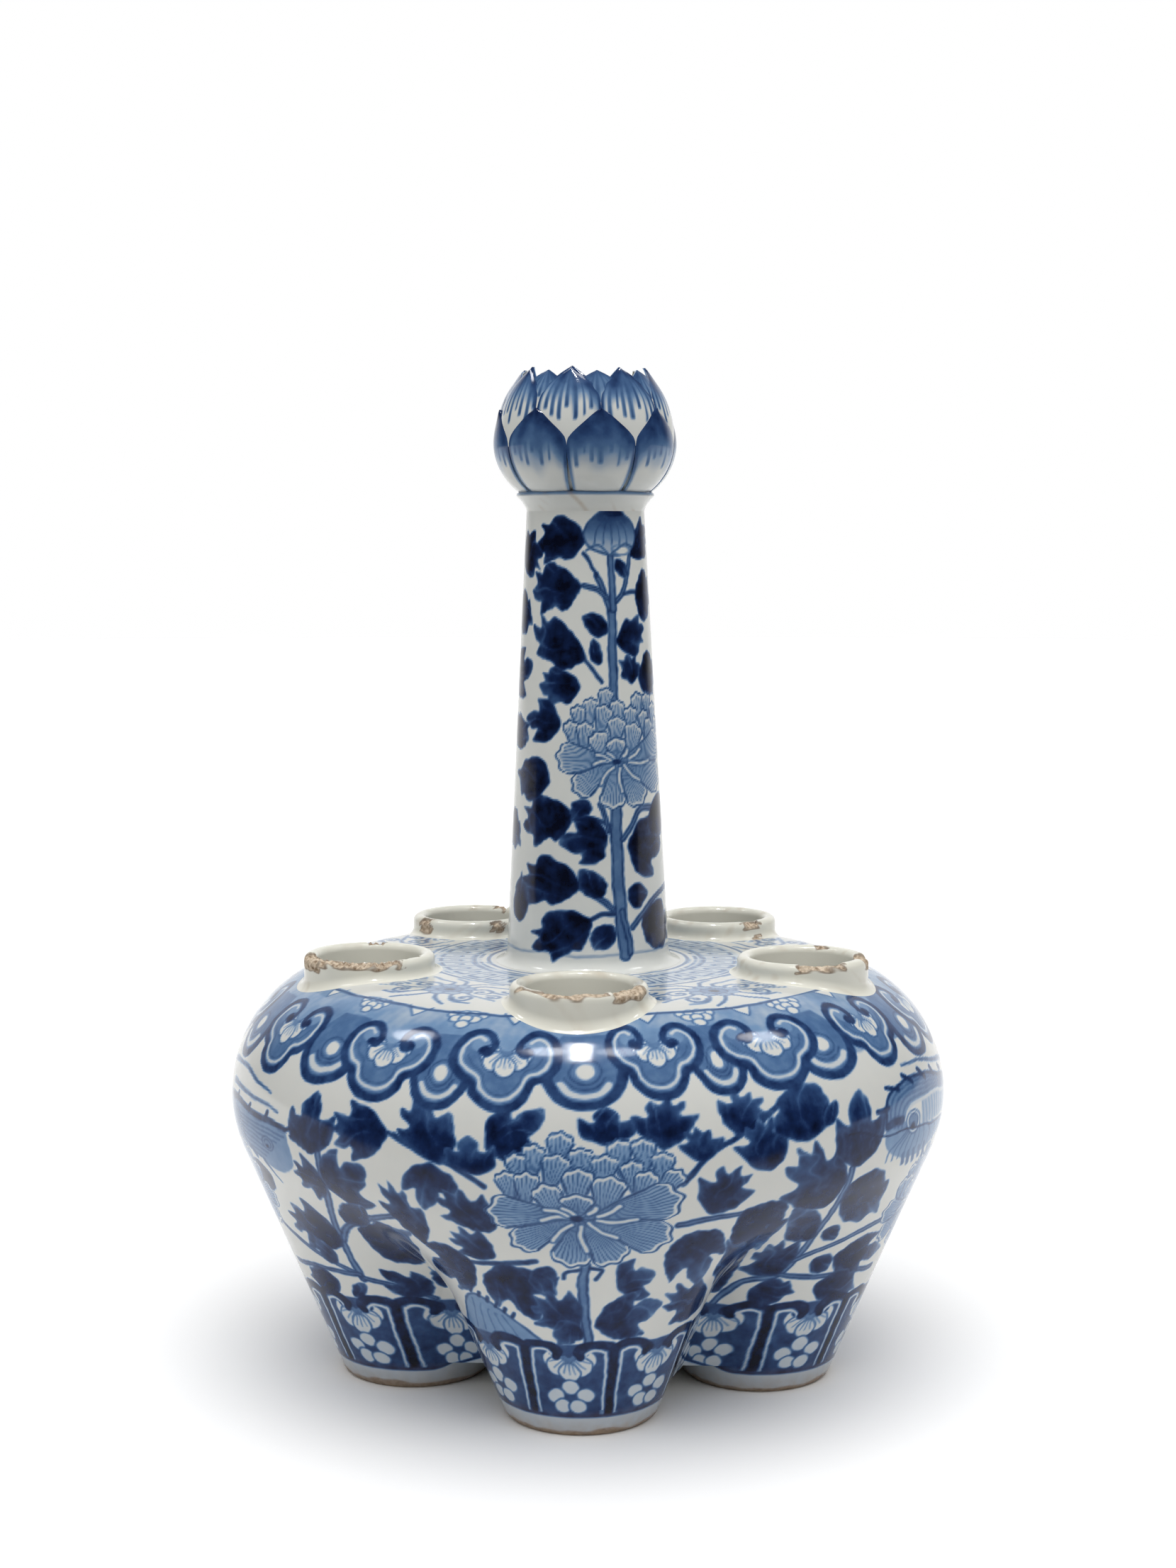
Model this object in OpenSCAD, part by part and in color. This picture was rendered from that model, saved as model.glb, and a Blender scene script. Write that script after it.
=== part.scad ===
// Five-lobed porcelain flower vase: a lobed lower body on five feet, a round shoulder
// with five short spouts, and a tall tapering neck that ends in a lotus-flower mouth.
// Lobe 1 faces the front (-Y). Lobes, feet and spouts are counted anticlockwise from above.

/* [Body] */
// Greatest radius of the body, where the upper and lower halves are luted together
body_r = 86.4; // [82:0.2:96]
// Height of the luting seam above the table
seam_z = 67.5; // [62:0.5:76]
// Radius of the rounded shoulder, seen from the side
roll_r = 30.2; // [26:0.2:34]
// Thickness of the porcelain wall
wall = 4.5; // [3:0.1:6]
// Thickness of the floor slab
floor_t = 5; // [3:0.1:8]

/* [Lobes] */
// Height at which the furrows between the lobes start to fade
furrow_fade_z = 26; // [18:0.5:36]
// Sideways spread of a lobe's flank for each millimetre towards the axis
flank_spread = 0.3; // [0.1:0.02:0.5]
// Rounding of the furrow where it fades, in degrees about the axis
furrow_round = 11; // [4:0.5:16]

/* [Feet] */
// Distance of each foot's centre from the axis
foot_ring_r = 43.1; // [40:0.1:46]
// Radius of a foot where it stands on the table
foot_r = 17.3; // [15:0.1:19]
// Height of the arches between the feet
arch_z = 7; // [5:0.1:10]
// Width of the rim that a foot stands on
foot_rim_w = 4; // [2.5:0.1:6]
// Depth of the recess inside the rim
foot_recess = 2.5; // [1:0.1:4]
// Rounding of the outer edge of a foot
foot_edge_r = 0.8; // [0.3:0.1:1.5]

/* [Spouts] */
// Distance of each spout's axis inside the widest edge of the body
spout_inset = 32.4; // [29:0.2:34.6]
// Outer radius of a spout
spout_r = 15.5; // [13.5:0.1:17]
// Radius of the hole through a spout
spout_bore_r = 12.1; // [10:0.1:12.8]
// Height of a spout above the top of the shoulder
spout_h = 4.3; // [3.6:0.1:8]
// Radius of the flare where a spout meets the shoulder
spout_flare_r = 9; // [5:0.5:10]
// How far the foot of the flare sinks into the shoulder
spout_flare_sink = 0.3; // [0.2:0.05:0.6]

/* [Neck] */
// Outer radius of the neck at the shoulder
neck_base_r = 19.8; // [18:0.1:22]
// Outer radius of the neck at its top
neck_top_r = 14.1; // [13:0.1:15]
// Height of the neck above the shoulder
neck_h = 108.5; // [80:0.5:130]
// Thickness of the neck's wall
neck_wall = 3.6; // [2.5:0.1:4.5]
// Radius of the fillet at the foot of the neck
neck_fillet_r = 3; // [1.5:0.1:4]

/* [Lotus mouth] */
// Greatest radius of the lotus flower
lotus_r = 22.1; // [20:0.1:25]
// Height of the lotus flower above the neck
lotus_h = 33.8; // [30:0.2:38]
// Height of the collar under the petals
collar_h = 4.6; // [3.5:0.1:6]
// Radius of the collar at its top
collar_r = 16.5; // [15.5:0.1:17.5]
// Height of the flower's widest point above the neck
lotus_wide_h = 16.3; // [15:0.1:17.5]
// Radius of the flower's side view above its widest point
lotus_upper_r = 26.3; // [23:0.1:34]
// Radius of the flower's side view below its widest point
lotus_lower_r = 14.6; // [12.4:0.1:16]
// Turn of the flower about the axis, from a lower petal straight in front
lotus_turn = 13.5; // [0:0.5:22.5]
// Thickness of a petal
petal_t = 1.8; // [1.2:0.1:2.4]
// Thickness of the cup behind the petals
cup_wall = 2; // [1.4:0.1:2.6]
// Height at which the lower petals part, above the neck
lower_part_h = 15; // [14:0.1:18]
// Height of the lower petals' tips above the neck
lower_tip_h = 24; // [21.5:0.1:26]
// Height of the cup's rim above the neck
cup_rim_h = 28; // [26.5:0.1:29.5]
// How round the sides of a petal run to its tip, from straight sides at 1
petal_arch = 1.8; // [1:0.1:2.2]
// Fall of the inner petals' tips below the upper ones
inner_tip_drop = 0.8; // [0.2:0.1:2]
// How far each row of petals lies behind the one before it
petal_step = 0.5; // [0.2:0.1:0.7]
// Sink of a petal's edges below its middle
petal_edge_sink = 0.4; // [0.1:0.1:0.6]
// Width of the groove between neighbouring petals
petal_groove = 0.3; // [0.1:0.05:0.6]
// Thickness of the slip between a petal and the cup
slip_t = 0.2; // [0.15:0.05:0.3]

/* [Hidden] */
$fn = 96;

// Five-fold layout
lobe_n = 5;
lobe_half = 180 / lobe_n;
front = -90;

// Side view of the body
roll_x = body_r - roll_r;
shoulder_z = seam_z + roll_r;
floor_z = arch_z + floor_t;
foot_reach = foot_ring_r + foot_r;
// The straight side of a lobe leaves the foot and touches the shoulder's arc
to_roll = norm([roll_x - foot_reach, seam_z]);
side_angle = atan2(seam_z, roll_x - foot_reach) - asin(roll_r / to_roll);
touch_z = sqrt(to_roll * to_roll - roll_r * roll_r) * sin(side_angle);

// The flare of a spout ends on the shoulder's arc, straight in front of the spout
spout_ring_r = body_r - spout_inset;
flare_x = spout_ring_r + spout_r + spout_flare_r - roll_x;
flare_to_roll = roll_r + spout_flare_r - spout_flare_sink;
flare_z = seam_z + sqrt(flare_to_roll * flare_to_roll - flare_x * flare_x);
flare_w = spout_flare_r * (1 - flare_x / flare_to_roll);
flare_h = spout_flare_r * (flare_z - seam_z) / flare_to_roll;

// Heights in the neck and the lotus mouth
neck_top_z = shoulder_z + neck_h;
collar_z = neck_top_z + collar_h;
lotus_wide_z = neck_top_z + lotus_wide_h;
lower_part_z = neck_top_z + lower_part_h;
lower_tip_z = neck_top_z + lower_tip_h;
cup_rim_z = neck_top_z + cup_rim_h;
top_z = neck_top_z + lotus_h;
throat_r = neck_top_r - neck_wall;
petal_n = 8;
petal_pitch_half = 180 / petal_n;
groove_half = atan(petal_groove / 2 / lotus_r);
petal_half = petal_pitch_half - groove_half;

// Facets of the lofted pieces
lobe_steps = 22;
lobe_rings = 13;
petal_steps = 4;
petal_rows = 6;
tip_width = 0.4;
overrun = 1;

glaze = "#e6ecef";
cobalt = "#33589a";
wash = "#8fa9cf";
biscuit = "#b08a5a";

function ease(t) = let(u = min(1, max(0, t))) u * u * (3 - 2 * u);

// Distance of the outer wall from the axis along the middle of a lobe
function reach(z) =
  z < touch_z ? foot_reach + z / tan(side_angle)
  : roll_x + sqrt(roll_r * roll_r - (z - seam_z) * (z - seam_z));

// Outline of a lobe in plan: a round end about the foot's centre, and spreading flanks
function lobe_outline(phi, round_r) =
  phi <= atan(round_r / foot_ring_r)
  ? foot_ring_r * cos(phi) + sqrt(round_r * round_r - pow(foot_ring_r * sin(phi), 2))
  : (round_r + flank_spread * foot_ring_r) / (sin(phi) + flank_spread * cos(phi));

// Distance of the wall from the axis, where the lobes fade into the round seam above
function body_at(phi, z, inset) =
  let(fade = 1 - ease((z - furrow_fade_z) / (seam_z - furrow_fade_z)))
  let(soft = furrow_round * (1 - fade))
  let(from_furrow = norm([lobe_half - abs(phi), soft]))
  let(side = reach(z) - inset)
  side - (side - lobe_outline(abs(lobe_half - from_furrow), side - foot_ring_r)) * fade;

function polar(r, phi, z) = [r * cos(phi), r * sin(phi), z];
function steps(low, high, n) = [for (i = [0:n]) low + (high - low) * i / n];
function turn(i) = (i - 1) * 360 / lobe_n;

// A closed solid lofted through rows of points that all have the same length
module loft(rows) {
  n = len(rows);
  k = len(rows[0]);
  points = [for (row = rows) each row];
  sides = [
    for (i = [0:n - 2]) for (j = [0:k - 1])
      let(a = i * k + j, b = i * k + (j + 1) % k)
        each [[a, b, b + k], [a, b + k, a + k]]
  ];
  first = [for (j = [k - 1:-1:0]) j];
  last = [for (j = [0:k - 1]) (n - 1) * k + j];
  polyhedron(points, concat(sides, [first, last]));
}

// One lobe's wall, from the floor to the luting seam, cut by the planes of its two furrows
module lobe(i) {
  outer = steps(arch_z, seam_z, lobe_rings);
  inner = steps(seam_z, floor_z, lobe_rings);
  color(wash)
    rotate([0, 0, front + turn(i)])
      loft([
        for (phi = steps(lobe_half, -lobe_half, lobe_steps))
          concat(
            [for (z = outer) polar(body_at(phi, z, 0), phi, z)],
            [for (z = inner) polar(body_at(phi, z, wall), phi, z)],
            [polar(body_at(phi, floor_z, wall), phi, arch_z)]
          )
      ]);
}

// Floor slab inside the five lobes, standing on the feet
module base() {
  outline = [
    for (i = [1:lobe_n]) for (phi = steps(-lobe_half, lobe_half, lobe_steps))
      if (phi < lobe_half)
        let(r = body_at(phi, floor_z, wall))
          [r * cos(front + turn(i) + phi), r * sin(front + turn(i) + phi)]
  ];
  color(glaze)
    translate([0, 0, arch_z])
      linear_extrude(floor_t)
        polygon(outline);
}

// One foot: a short flaring disc with an unglazed rim round a shallow recess
module foot(i) {
  top_r = reach(arch_z) - foot_ring_r;
  color(biscuit)
    rotate([0, 0, turn(i)])
      translate([0, -foot_ring_r, 0])
        rotate_extrude()
          difference() {
            polygon([
              [0, 0],
              [foot_r - foot_edge_r, 0],
              [foot_r + foot_edge_r / tan(side_angle), foot_edge_r],
              [top_r, arch_z],
              [0, arch_z]
            ]);
            square([foot_r - foot_rim_w, foot_recess]);
          }
}

// Half of the shoulder's side view, filled to the axis
module shoulder_side(inset) {
  translate([roll_x, seam_z])
    intersection() {
      circle(r = roll_r - inset);
      square(roll_r);
    }
  translate([0, seam_z])
    square([roll_x, roll_r - inset]);
}

module at_front_spout() {
  translate([0, -spout_ring_r, 0])
    children();
}

// One segment of the body's upper half, above its lobe, with sockets for the neck and its spout
module shoulder(i) {
  color(wash)
    rotate([0, 0, turn(i)])
      difference() {
        rotate([0, 0, front - lobe_half])
          rotate_extrude(angle = 2 * lobe_half)
            difference() {
              shoulder_side(0);
              shoulder_side(wall);
            }
        translate([0, 0, seam_z])
          cylinder(r = neck_base_r, h = roll_r + overrun);
        at_front_spout()
          translate([0, 0, seam_z])
            cylinder(r = spout_r, h = roll_r + overrun);
      }
}

// One spout: a round-lipped collar set into the shoulder, flaring where it meets it
module spout(i) {
  lip_r = (spout_r - spout_bore_r) / 2;
  rim_z = shoulder_z + spout_h;
  color(glaze)
    rotate([0, 0, turn(i)])
      difference() {
        at_front_spout()
          rotate_extrude() {
            translate([spout_bore_r, seam_z])
              square([spout_r - spout_bore_r, rim_z - lip_r - seam_z]);
            translate([spout_bore_r + lip_r, rim_z - lip_r])
              circle(r = lip_r);
            difference() {
              translate([spout_r, flare_z - flare_h])
                square([flare_w, flare_h]);
              translate([spout_r + spout_flare_r, flare_z])
                circle(r = spout_flare_r);
            }
          }
        rotate_extrude()
          shoulder_side(wall);
        difference() {
          rotate_extrude()
            shoulder_side(0);
          at_front_spout()
            translate([0, 0, seam_z - overrun])
              cylinder(r = spout_r, h = roll_r + 2 * overrun);
        }
      }
}

// The tapering neck, set into the shoulder, with a fillet at its foot
module neck() {
  socket_z = shoulder_z - wall;
  color(glaze)
    rotate_extrude() {
      polygon([
        [neck_base_r - neck_wall, socket_z],
        [neck_base_r, socket_z],
        [neck_base_r, shoulder_z],
        [neck_top_r, neck_top_z],
        [throat_r, neck_top_z]
      ]);
      difference() {
        translate([neck_base_r - neck_wall / 2, shoulder_z])
          square([neck_fillet_r + neck_wall / 2, neck_fillet_r]);
        translate([neck_base_r + neck_fillet_r, shoulder_z + neck_fillet_r])
          circle(r = neck_fillet_r);
      }
    }
}

// Half of the flower's side view, filled to the axis, between two heights
module lotus_side(inset, low, high) {
  wide = 2 * lotus_r;
  intersection() {
    translate([lotus_r - lotus_upper_r - inset, lotus_wide_z])
      circle(r = lotus_upper_r);
    translate([0, lotus_wide_z])
      square([wide, high - lotus_wide_z]);
  }
  intersection() {
    translate([lotus_r - lotus_lower_r - inset, lotus_wide_z])
      circle(r = lotus_lower_r);
    translate([0, low])
      square([wide, lotus_wide_z - low]);
  }
  translate([0, low])
    square([throat_r, lotus_wide_z - low]);
}

// Radius of the flower at a height, on the same two arcs
function lotus_at(z, inset) =
  let(r = z > lotus_wide_z ? lotus_upper_r : lotus_lower_r)
  lotus_r - r - inset + sqrt(r * r - pow(z - lotus_wide_z, 2));

// The cup that carries the petals, with its collar on top of the neck
module lotus_cup() {
  lip = petal_t + cup_wall;
  color(glaze)
    rotate_extrude()
      difference() {
        union() {
          polygon([
            [0, neck_top_z],
            [neck_top_r, neck_top_z],
            [collar_r, collar_z - collar_h / 4],
            [collar_r, collar_z],
            [0, collar_z]
          ]);
          lotus_side(petal_t, collar_z, cup_rim_z);
        }
        lotus_side(lip, collar_z + cup_wall, cup_rim_z + overrun);
        translate([0, neck_top_z - overrun])
          square([throat_r, lotus_h]);
      }
}

// Half widths of the three rows of petals, in degrees. Each row fills what the one below leaves
function left_over(half) = petal_pitch_half - half - 2 * groove_half;
function arch_half(z, low, tip) = petal_half * (1 - pow((z - low) / (tip - low), petal_arch));
function lower_half(z) =
  z < lower_part_z ? petal_half : arch_half(z, lower_part_z, lower_tip_z);
function upper_half(z) =
  z < lower_tip_z ? left_over(lower_half(z)) : arch_half(z, lower_tip_z, top_z);
function inner_half(z) =
  let(tip_z = top_z - inner_tip_drop)
  min(left_over(upper_half(z)), 2 * petal_half * (tip_z - z) / (tip_z - lower_tip_z));

// A petal's cross-section at one height: its bulging face out, then its back on the cup
function petal_row(z, half, row) =
  let(w = max(half, tip_width))
  let(face = lotus_at(z, row * petal_step))
  let(back = lotus_at(z, petal_t - slip_t))
  concat(
    [for (a = steps(-1, 1, petal_steps)) polar(face - petal_edge_sink * a * a, a * w, z)],
    [for (a = steps(1, -1, petal_steps)) polar(back, a * w, z)]
  );

// Directions of the petals: the upper row stands between the petals of the other two
function petal_dir(i, between) = front + lotus_turn + (2 * i + between) * petal_pitch_half;

module lower_petals() {
  color(wash)
    for (i = [1:petal_n])
      rotate([0, 0, petal_dir(i, 0)])
        loft([for (z = steps(collar_z, lower_tip_z, petal_rows)) petal_row(z, lower_half(z), 0)]);
}

module upper_petals() {
  color(cobalt)
    for (i = [1:petal_n])
      rotate([0, 0, petal_dir(i, 1)])
        loft([for (z = steps(lower_part_z, top_z, petal_rows)) petal_row(z, upper_half(z), 1)]);
}

module inner_petals() {
  color(cobalt)
    for (i = [1:petal_n])
      rotate([0, 0, petal_dir(i, 0)])
        loft([
          for (z = steps(lower_tip_z, top_z - inner_tip_drop, petal_rows))
            petal_row(z, inner_half(z), 2)
        ]);
}

base();
neck();
lotus_cup();
lower_petals();
upper_petals();
inner_petals();
for (i = [1:lobe_n]) {
  shoulder(i);
  lobe(i);
  foot(i);
  spout(i);
}
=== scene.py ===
import math

import bpy
import numpy as np
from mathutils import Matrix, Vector


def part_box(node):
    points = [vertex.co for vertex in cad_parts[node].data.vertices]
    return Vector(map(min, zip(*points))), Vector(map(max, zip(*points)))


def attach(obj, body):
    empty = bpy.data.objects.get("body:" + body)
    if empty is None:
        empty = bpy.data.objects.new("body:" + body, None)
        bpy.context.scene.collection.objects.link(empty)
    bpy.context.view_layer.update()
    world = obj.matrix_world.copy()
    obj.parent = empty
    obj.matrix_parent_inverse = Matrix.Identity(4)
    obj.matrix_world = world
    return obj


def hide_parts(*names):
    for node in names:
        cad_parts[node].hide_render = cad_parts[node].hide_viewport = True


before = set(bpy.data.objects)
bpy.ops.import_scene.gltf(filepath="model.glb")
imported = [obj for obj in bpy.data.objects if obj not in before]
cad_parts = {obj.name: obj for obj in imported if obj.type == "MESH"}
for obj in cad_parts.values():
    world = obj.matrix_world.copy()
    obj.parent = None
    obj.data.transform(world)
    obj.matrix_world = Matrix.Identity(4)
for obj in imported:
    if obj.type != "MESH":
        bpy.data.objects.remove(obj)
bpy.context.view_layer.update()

# Sizes in millimetres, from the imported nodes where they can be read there


def corners(node):
    return [np.array(corner) * 1000 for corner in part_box(node)]


SEAM_Z = corners("shoulder_1")[0][2]
SHOULDER_Z = corners("shoulder_1")[1][2]
BODY_R = -corners("shoulder_1")[0][1]
ROLL_R = SHOULDER_Z - SEAM_Z
ROLL_X = BODY_R - ROLL_R
ROLL_ARC = ROLL_R * math.pi / 2
WALL = 4.5
ARCH_Z = corners("lobe_1")[0][2]
FLOOR_Z = corners("base")[1][2]
FOOT_RING = -sum(corners("foot_1"))[1] / 2
FOOT_R = 17.3
FOOT_REACH = FOOT_RING + FOOT_R
FURROW_FADE_Z = 26.0
FLANK_SPREAD = 0.3
FURROW_ROUND = math.radians(11)
LOBES = 5
LOBE_HALF = math.pi / LOBES
LOBE_TURN = 360 / LOBES

RIM_Z = corners("spout_1")[1][2]
SPOUT_RING = 54.0
SPOUT_R = 15.5
SPOUT_BORE = 12.1

NECK_TOP_Z = corners("neck")[1][2]
NECK_BASE_R = 19.8
NECK_TOP_R = 14.1
NECK_WALL = 3.6
NECK_FILLET = 3.0

TOP_Z = corners("upper_petals")[1][2]
LOTUS_R = 22.1
LOTUS_WIDE_Z = NECK_TOP_Z + 16.3
LOTUS_UPPER_R = 26.3
LOTUS_LOWER_R = 14.6
LOTUS_TURN = 13.5
COLLAR_Z = NECK_TOP_Z + 4.6
COLLAR_R = 16.5
PETALS = 8
PETAL_T = 1.8
CUP_WALL = 2.0
CUP_RIM_Z = NECK_TOP_Z + 28.0
LOWER_TIP_Z = NECK_TOP_Z + 24.0
UPPER_FOOT_Z = NECK_TOP_Z + 15.0

# The neck leans a little to the left, as it came out of the kiln
LEAN = 0.8

# Millimetres of drawing for each degree round the vase, and for the whole way round
BODY_FLAT = 1.2
NECK_FLAT = 0.3
BODY_ROUND = 360 * BODY_FLAT
NECK_ROUND = 360 * NECK_FLAT
# Width over which the edge of a brush mark fades into the glaze
SOFT = 0.42
# Width of the line round an oval
OVAL_EDGE = 0.35

# How far a painted line strays from its place
HAND = 0.3

# Tones of cobalt, from bare glaze to the darkest blue
WHITE, PALE, WASH, MID, DEEP, DARK, INK = 0.03, 0.17, 0.27, 0.42, 0.66, 0.84, 0.95


# Shape of the body, as in the part


def ease(t):
    u = np.clip(t, 0, 1)
    return u * u * (3 - 2 * u)


TO_ROLL = math.hypot(ROLL_X - FOOT_REACH, SEAM_Z)
SIDE_ANGLE = math.atan2(SEAM_Z, ROLL_X - FOOT_REACH) - math.asin(ROLL_R / TO_ROLL)
TOUCH_Z = math.sqrt(TO_ROLL**2 - ROLL_R**2) * math.sin(SIDE_ANGLE)


def reach(z):
    """Distance of the outer wall from the axis, along the middle of a lobe."""
    roll = ROLL_X + np.sqrt(np.maximum(ROLL_R**2 - (z - SEAM_Z) ** 2, 0))
    return np.where(z < TOUCH_Z, FOOT_REACH + z / math.tan(SIDE_ANGLE), roll)


def lobe_outline(phi, round_r):
    """Plan of a lobe: a round end about the foot's centre, and spreading flanks."""
    end = FOOT_RING * np.cos(phi) + np.sqrt(np.maximum(round_r**2 - (FOOT_RING * np.sin(phi)) ** 2, 0))
    flank = (round_r + FLANK_SPREAD * FOOT_RING) / (np.sin(phi) + FLANK_SPREAD * np.cos(phi))
    return np.where(phi <= np.arctan(round_r / FOOT_RING), end, flank)


def body_at(phi, z, inset=0.0):
    """Distance of the wall from the axis, phi radians from the middle of a lobe."""
    fade = 1 - ease((z - FURROW_FADE_Z) / (SEAM_Z - FURROW_FADE_Z))
    from_furrow = np.hypot(LOBE_HALF - np.abs(phi), FURROW_ROUND * (1 - fade))
    side = reach(z) - inset
    return side - (side - lobe_outline(np.abs(LOBE_HALF - from_furrow), side - FOOT_RING)) * fade


def shoulder_at(s, inset=0.0):
    """Radius and height on the shoulder, s millimetres up the wall from the seam."""
    bend = np.minimum(s / ROLL_R, math.pi / 2)
    flat = np.maximum(s - ROLL_ARC, 0)
    r = ROLL_X + (ROLL_R - inset) * np.cos(bend) - flat
    return r, SEAM_Z + (ROLL_R - inset) * np.sin(bend)


def shoulder_height(r):
    """Height of the shoulder's surface at a distance from the axis."""
    return SEAM_Z + np.sqrt(np.maximum(ROLL_R**2 - np.maximum(r - ROLL_X, 0) ** 2, 0))


def lotus_at(z, inset=0.0):
    """Radius of the lotus flower at a height."""
    r = np.where(z > LOTUS_WIDE_Z, LOTUS_UPPER_R, LOTUS_LOWER_R)
    return LOTUS_R - r - inset + np.sqrt(np.maximum(r**2 - (z - LOTUS_WIDE_Z) ** 2, 0))


def around(r, angle, z):
    """Points at an angle in degrees from the front, anticlockwise seen from above."""
    a = np.radians(angle)
    r, a, z = np.broadcast_arrays(r, a, z)
    return np.stack([r * np.sin(a), -r * np.cos(a), z], -1)


def lean(points):
    """Tips the neck and the flower a little to the left."""
    up = np.clip((points[..., 2] - SHOULDER_Z) / (TOP_Z - SHOULDER_Z), 0, 1)
    points[..., 0] -= LEAN * up
    return points


def waves(x, y, seed):
    """A smooth random-looking field, mostly between -1 and 1, with waves of about one unit."""
    k = np.random.default_rng(seed).normal(0, 4.5, (6, 2))
    shift = np.random.default_rng(seed + 1).uniform(0, 6.3, 6)
    return sum(np.sin(a * x + b * y + c) for (a, b), c in zip(k, shift)) / 3.2


# Painting: a canvas holds the drawing coordinates of a piece's points and their tone


def blend(old, new, share):
    return old + (new - old) * share


def soft(inside):
    """Cover of a brush mark, from the distance inside its edge."""
    return np.clip(0.5 + inside / SOFT, 0, 1)


def polar(length, degrees):
    a = math.radians(degrees)
    return np.array([length * math.cos(a), length * math.sin(a)])


def from_run(x, y, start, run):
    """How far along a straight run the nearest point lies, from 0 to 1, and its squared distance."""
    dx, dy = x - start[0], y - start[1]
    t = np.clip((dx * run[0] + dy * run[1]) / (run @ run + 1e-9), 0, 1)
    return t, (dx - t * run[0]) ** 2 + (dy - t * run[1]) ** 2


def outline_distance(x, y, points):
    """Distance from a closed outline, negative inside it."""
    nearest = np.full(x.shape, np.inf)
    inside = np.zeros(x.shape, bool)
    for start, stop in zip(points, np.roll(points, -1, axis=0)):
        run = stop - start
        nearest = np.minimum(nearest, from_run(x, y, start, run)[1])
        crossing = start[0] + (y - start[1]) * run[0] / (run[1] + (run[1] == 0))
        inside ^= ((start[1] > y) != (stop[1] > y)) & (x < crossing)
    return np.sqrt(nearest) * np.where(inside, -1, 1)


def line_distance(x, y, points):
    """Distance from an open line, and how far along it the nearest point lies, from 0 to 1."""
    nearest = np.full(x.shape, np.inf)
    along = np.zeros(x.shape)
    for i, (start, stop) in enumerate(zip(points, points[1:])):
        t, d = from_run(x, y, start, stop - start)
        along = np.where(d < nearest, (i + t) / (len(points) - 1), along)
        nearest = np.minimum(nearest, d)
    return np.sqrt(nearest), along


def curve(points, closed=False, n=5):
    """A smooth line through a few points."""
    p = np.asarray(points, float)
    ends = (p[-1:], p[:2]) if closed else (2 * p[:1] - p[1:2], 2 * p[-1:] - p[-2:-1])
    p = np.vstack([ends[0], p, ends[1]])
    t = np.linspace(0, 1, n, endpoint=False)[:, None]
    runs = [
        b + (c - a) * t / 2 + (2 * a - 5 * b + 4 * c - d) * t**2 / 2 + (3 * b - a - 3 * c + d) * t**3 / 2
        for a, b, c, d in zip(p, p[1:], p[2:], p[3:])
    ]
    return np.vstack(runs if closed else runs + [p[-2:-1]])


def unsteady(x, y, seed):
    """How far the painter's hand strays, in long waves and in short ones."""
    return HAND * waves(x / 11, y / 11, seed) + 0.3 * HAND * waves(x / 3, y / 3, seed + 2)


class Canvas:
    """Points of a piece in drawing coordinates, which may repeat round the vase, and their tone."""

    def __init__(self, x, y, tone, period=None):
        self.x = x + unsteady(x, y, 71)
        self.y = y + unsteady(x, y, 72)
        self.tone = tone
        self.period = period

    def blend(self, cover, tone):
        self.tone[:] = blend(self.tone, tone, cover)

    def patch(self, x, y, radius, turn=0.0, mirror=1):
        """The points round a spot, in coordinates about it that are turned and mirrored."""
        dx = self.x - x
        if self.period:
            dx -= self.period * np.round(dx / self.period)
        dy = self.y - y
        near = np.flatnonzero((np.abs(dx) < radius) & (np.abs(dy) < radius))
        dx, dy = dx[near], dy[near]
        c, s = math.cos(turn), math.sin(turn)
        return Patch(self, near, (c * dx + s * dy) * mirror, c * dy - s * dx)

    def motif(self, x, low, middle, radius, width=1.0):
        """A patch round a motif, with heights from the level low and x as a share of its width."""
        patch = self.patch(x, low + middle, radius)
        patch.x, patch.y = patch.x / width, patch.y + middle
        return patch


class Patch:
    """Points of a canvas round a spot, to draw on in coordinates about that spot."""

    def __init__(self, canvas, near, x, y):
        self.canvas, self.near, self.x, self.y = canvas, near, x, y

    def lay(self, some, cover, tone):
        spots = self.near[some]
        self.canvas.tone[spots] = blend(self.canvas.tone[spots], tone, cover)

    def inside_box(self, points, margin):
        low, high = points.min(0) - margin, points.max(0) + margin
        return np.flatnonzero(
            (self.x > low[0]) & (self.x < high[0]) & (self.y > low[1]) & (self.y < high[1])
        )

    def fill(self, points, tone):
        points = np.asarray(points, float)
        some = self.inside_box(points, 1)
        if len(some):
            self.lay(some, soft(-outline_distance(self.x[some], self.y[some], points)), tone)

    def line(self, points, width, tone, taper=0.0):
        """A brush line, which thins towards its end by the share taper."""
        points = np.asarray(points, float)
        some = self.inside_box(points, width)
        if len(some):
            gap, along = line_distance(self.x[some], self.y[some], points)
            self.lay(some, soft(width / 2 * (1 - taper * along) - gap), tone)

    def oval(self, x, y, rx, ry, tone, edge=None):
        """An oval, with a thin dark edge where edge gives its tone."""
        some = np.flatnonzero((np.abs(self.x - x) < rx + 1) & (np.abs(self.y - y) < ry + 1))
        if len(some):
            size = np.hypot((self.x[some] - x) / rx, (self.y[some] - y) / ry)
            gap = (size - 1) * min(rx, ry)
            if edge is not None:
                self.lay(some, soft(OVAL_EDGE - gap), edge)
            self.lay(some, soft(-gap), tone)


# Motifs

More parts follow.
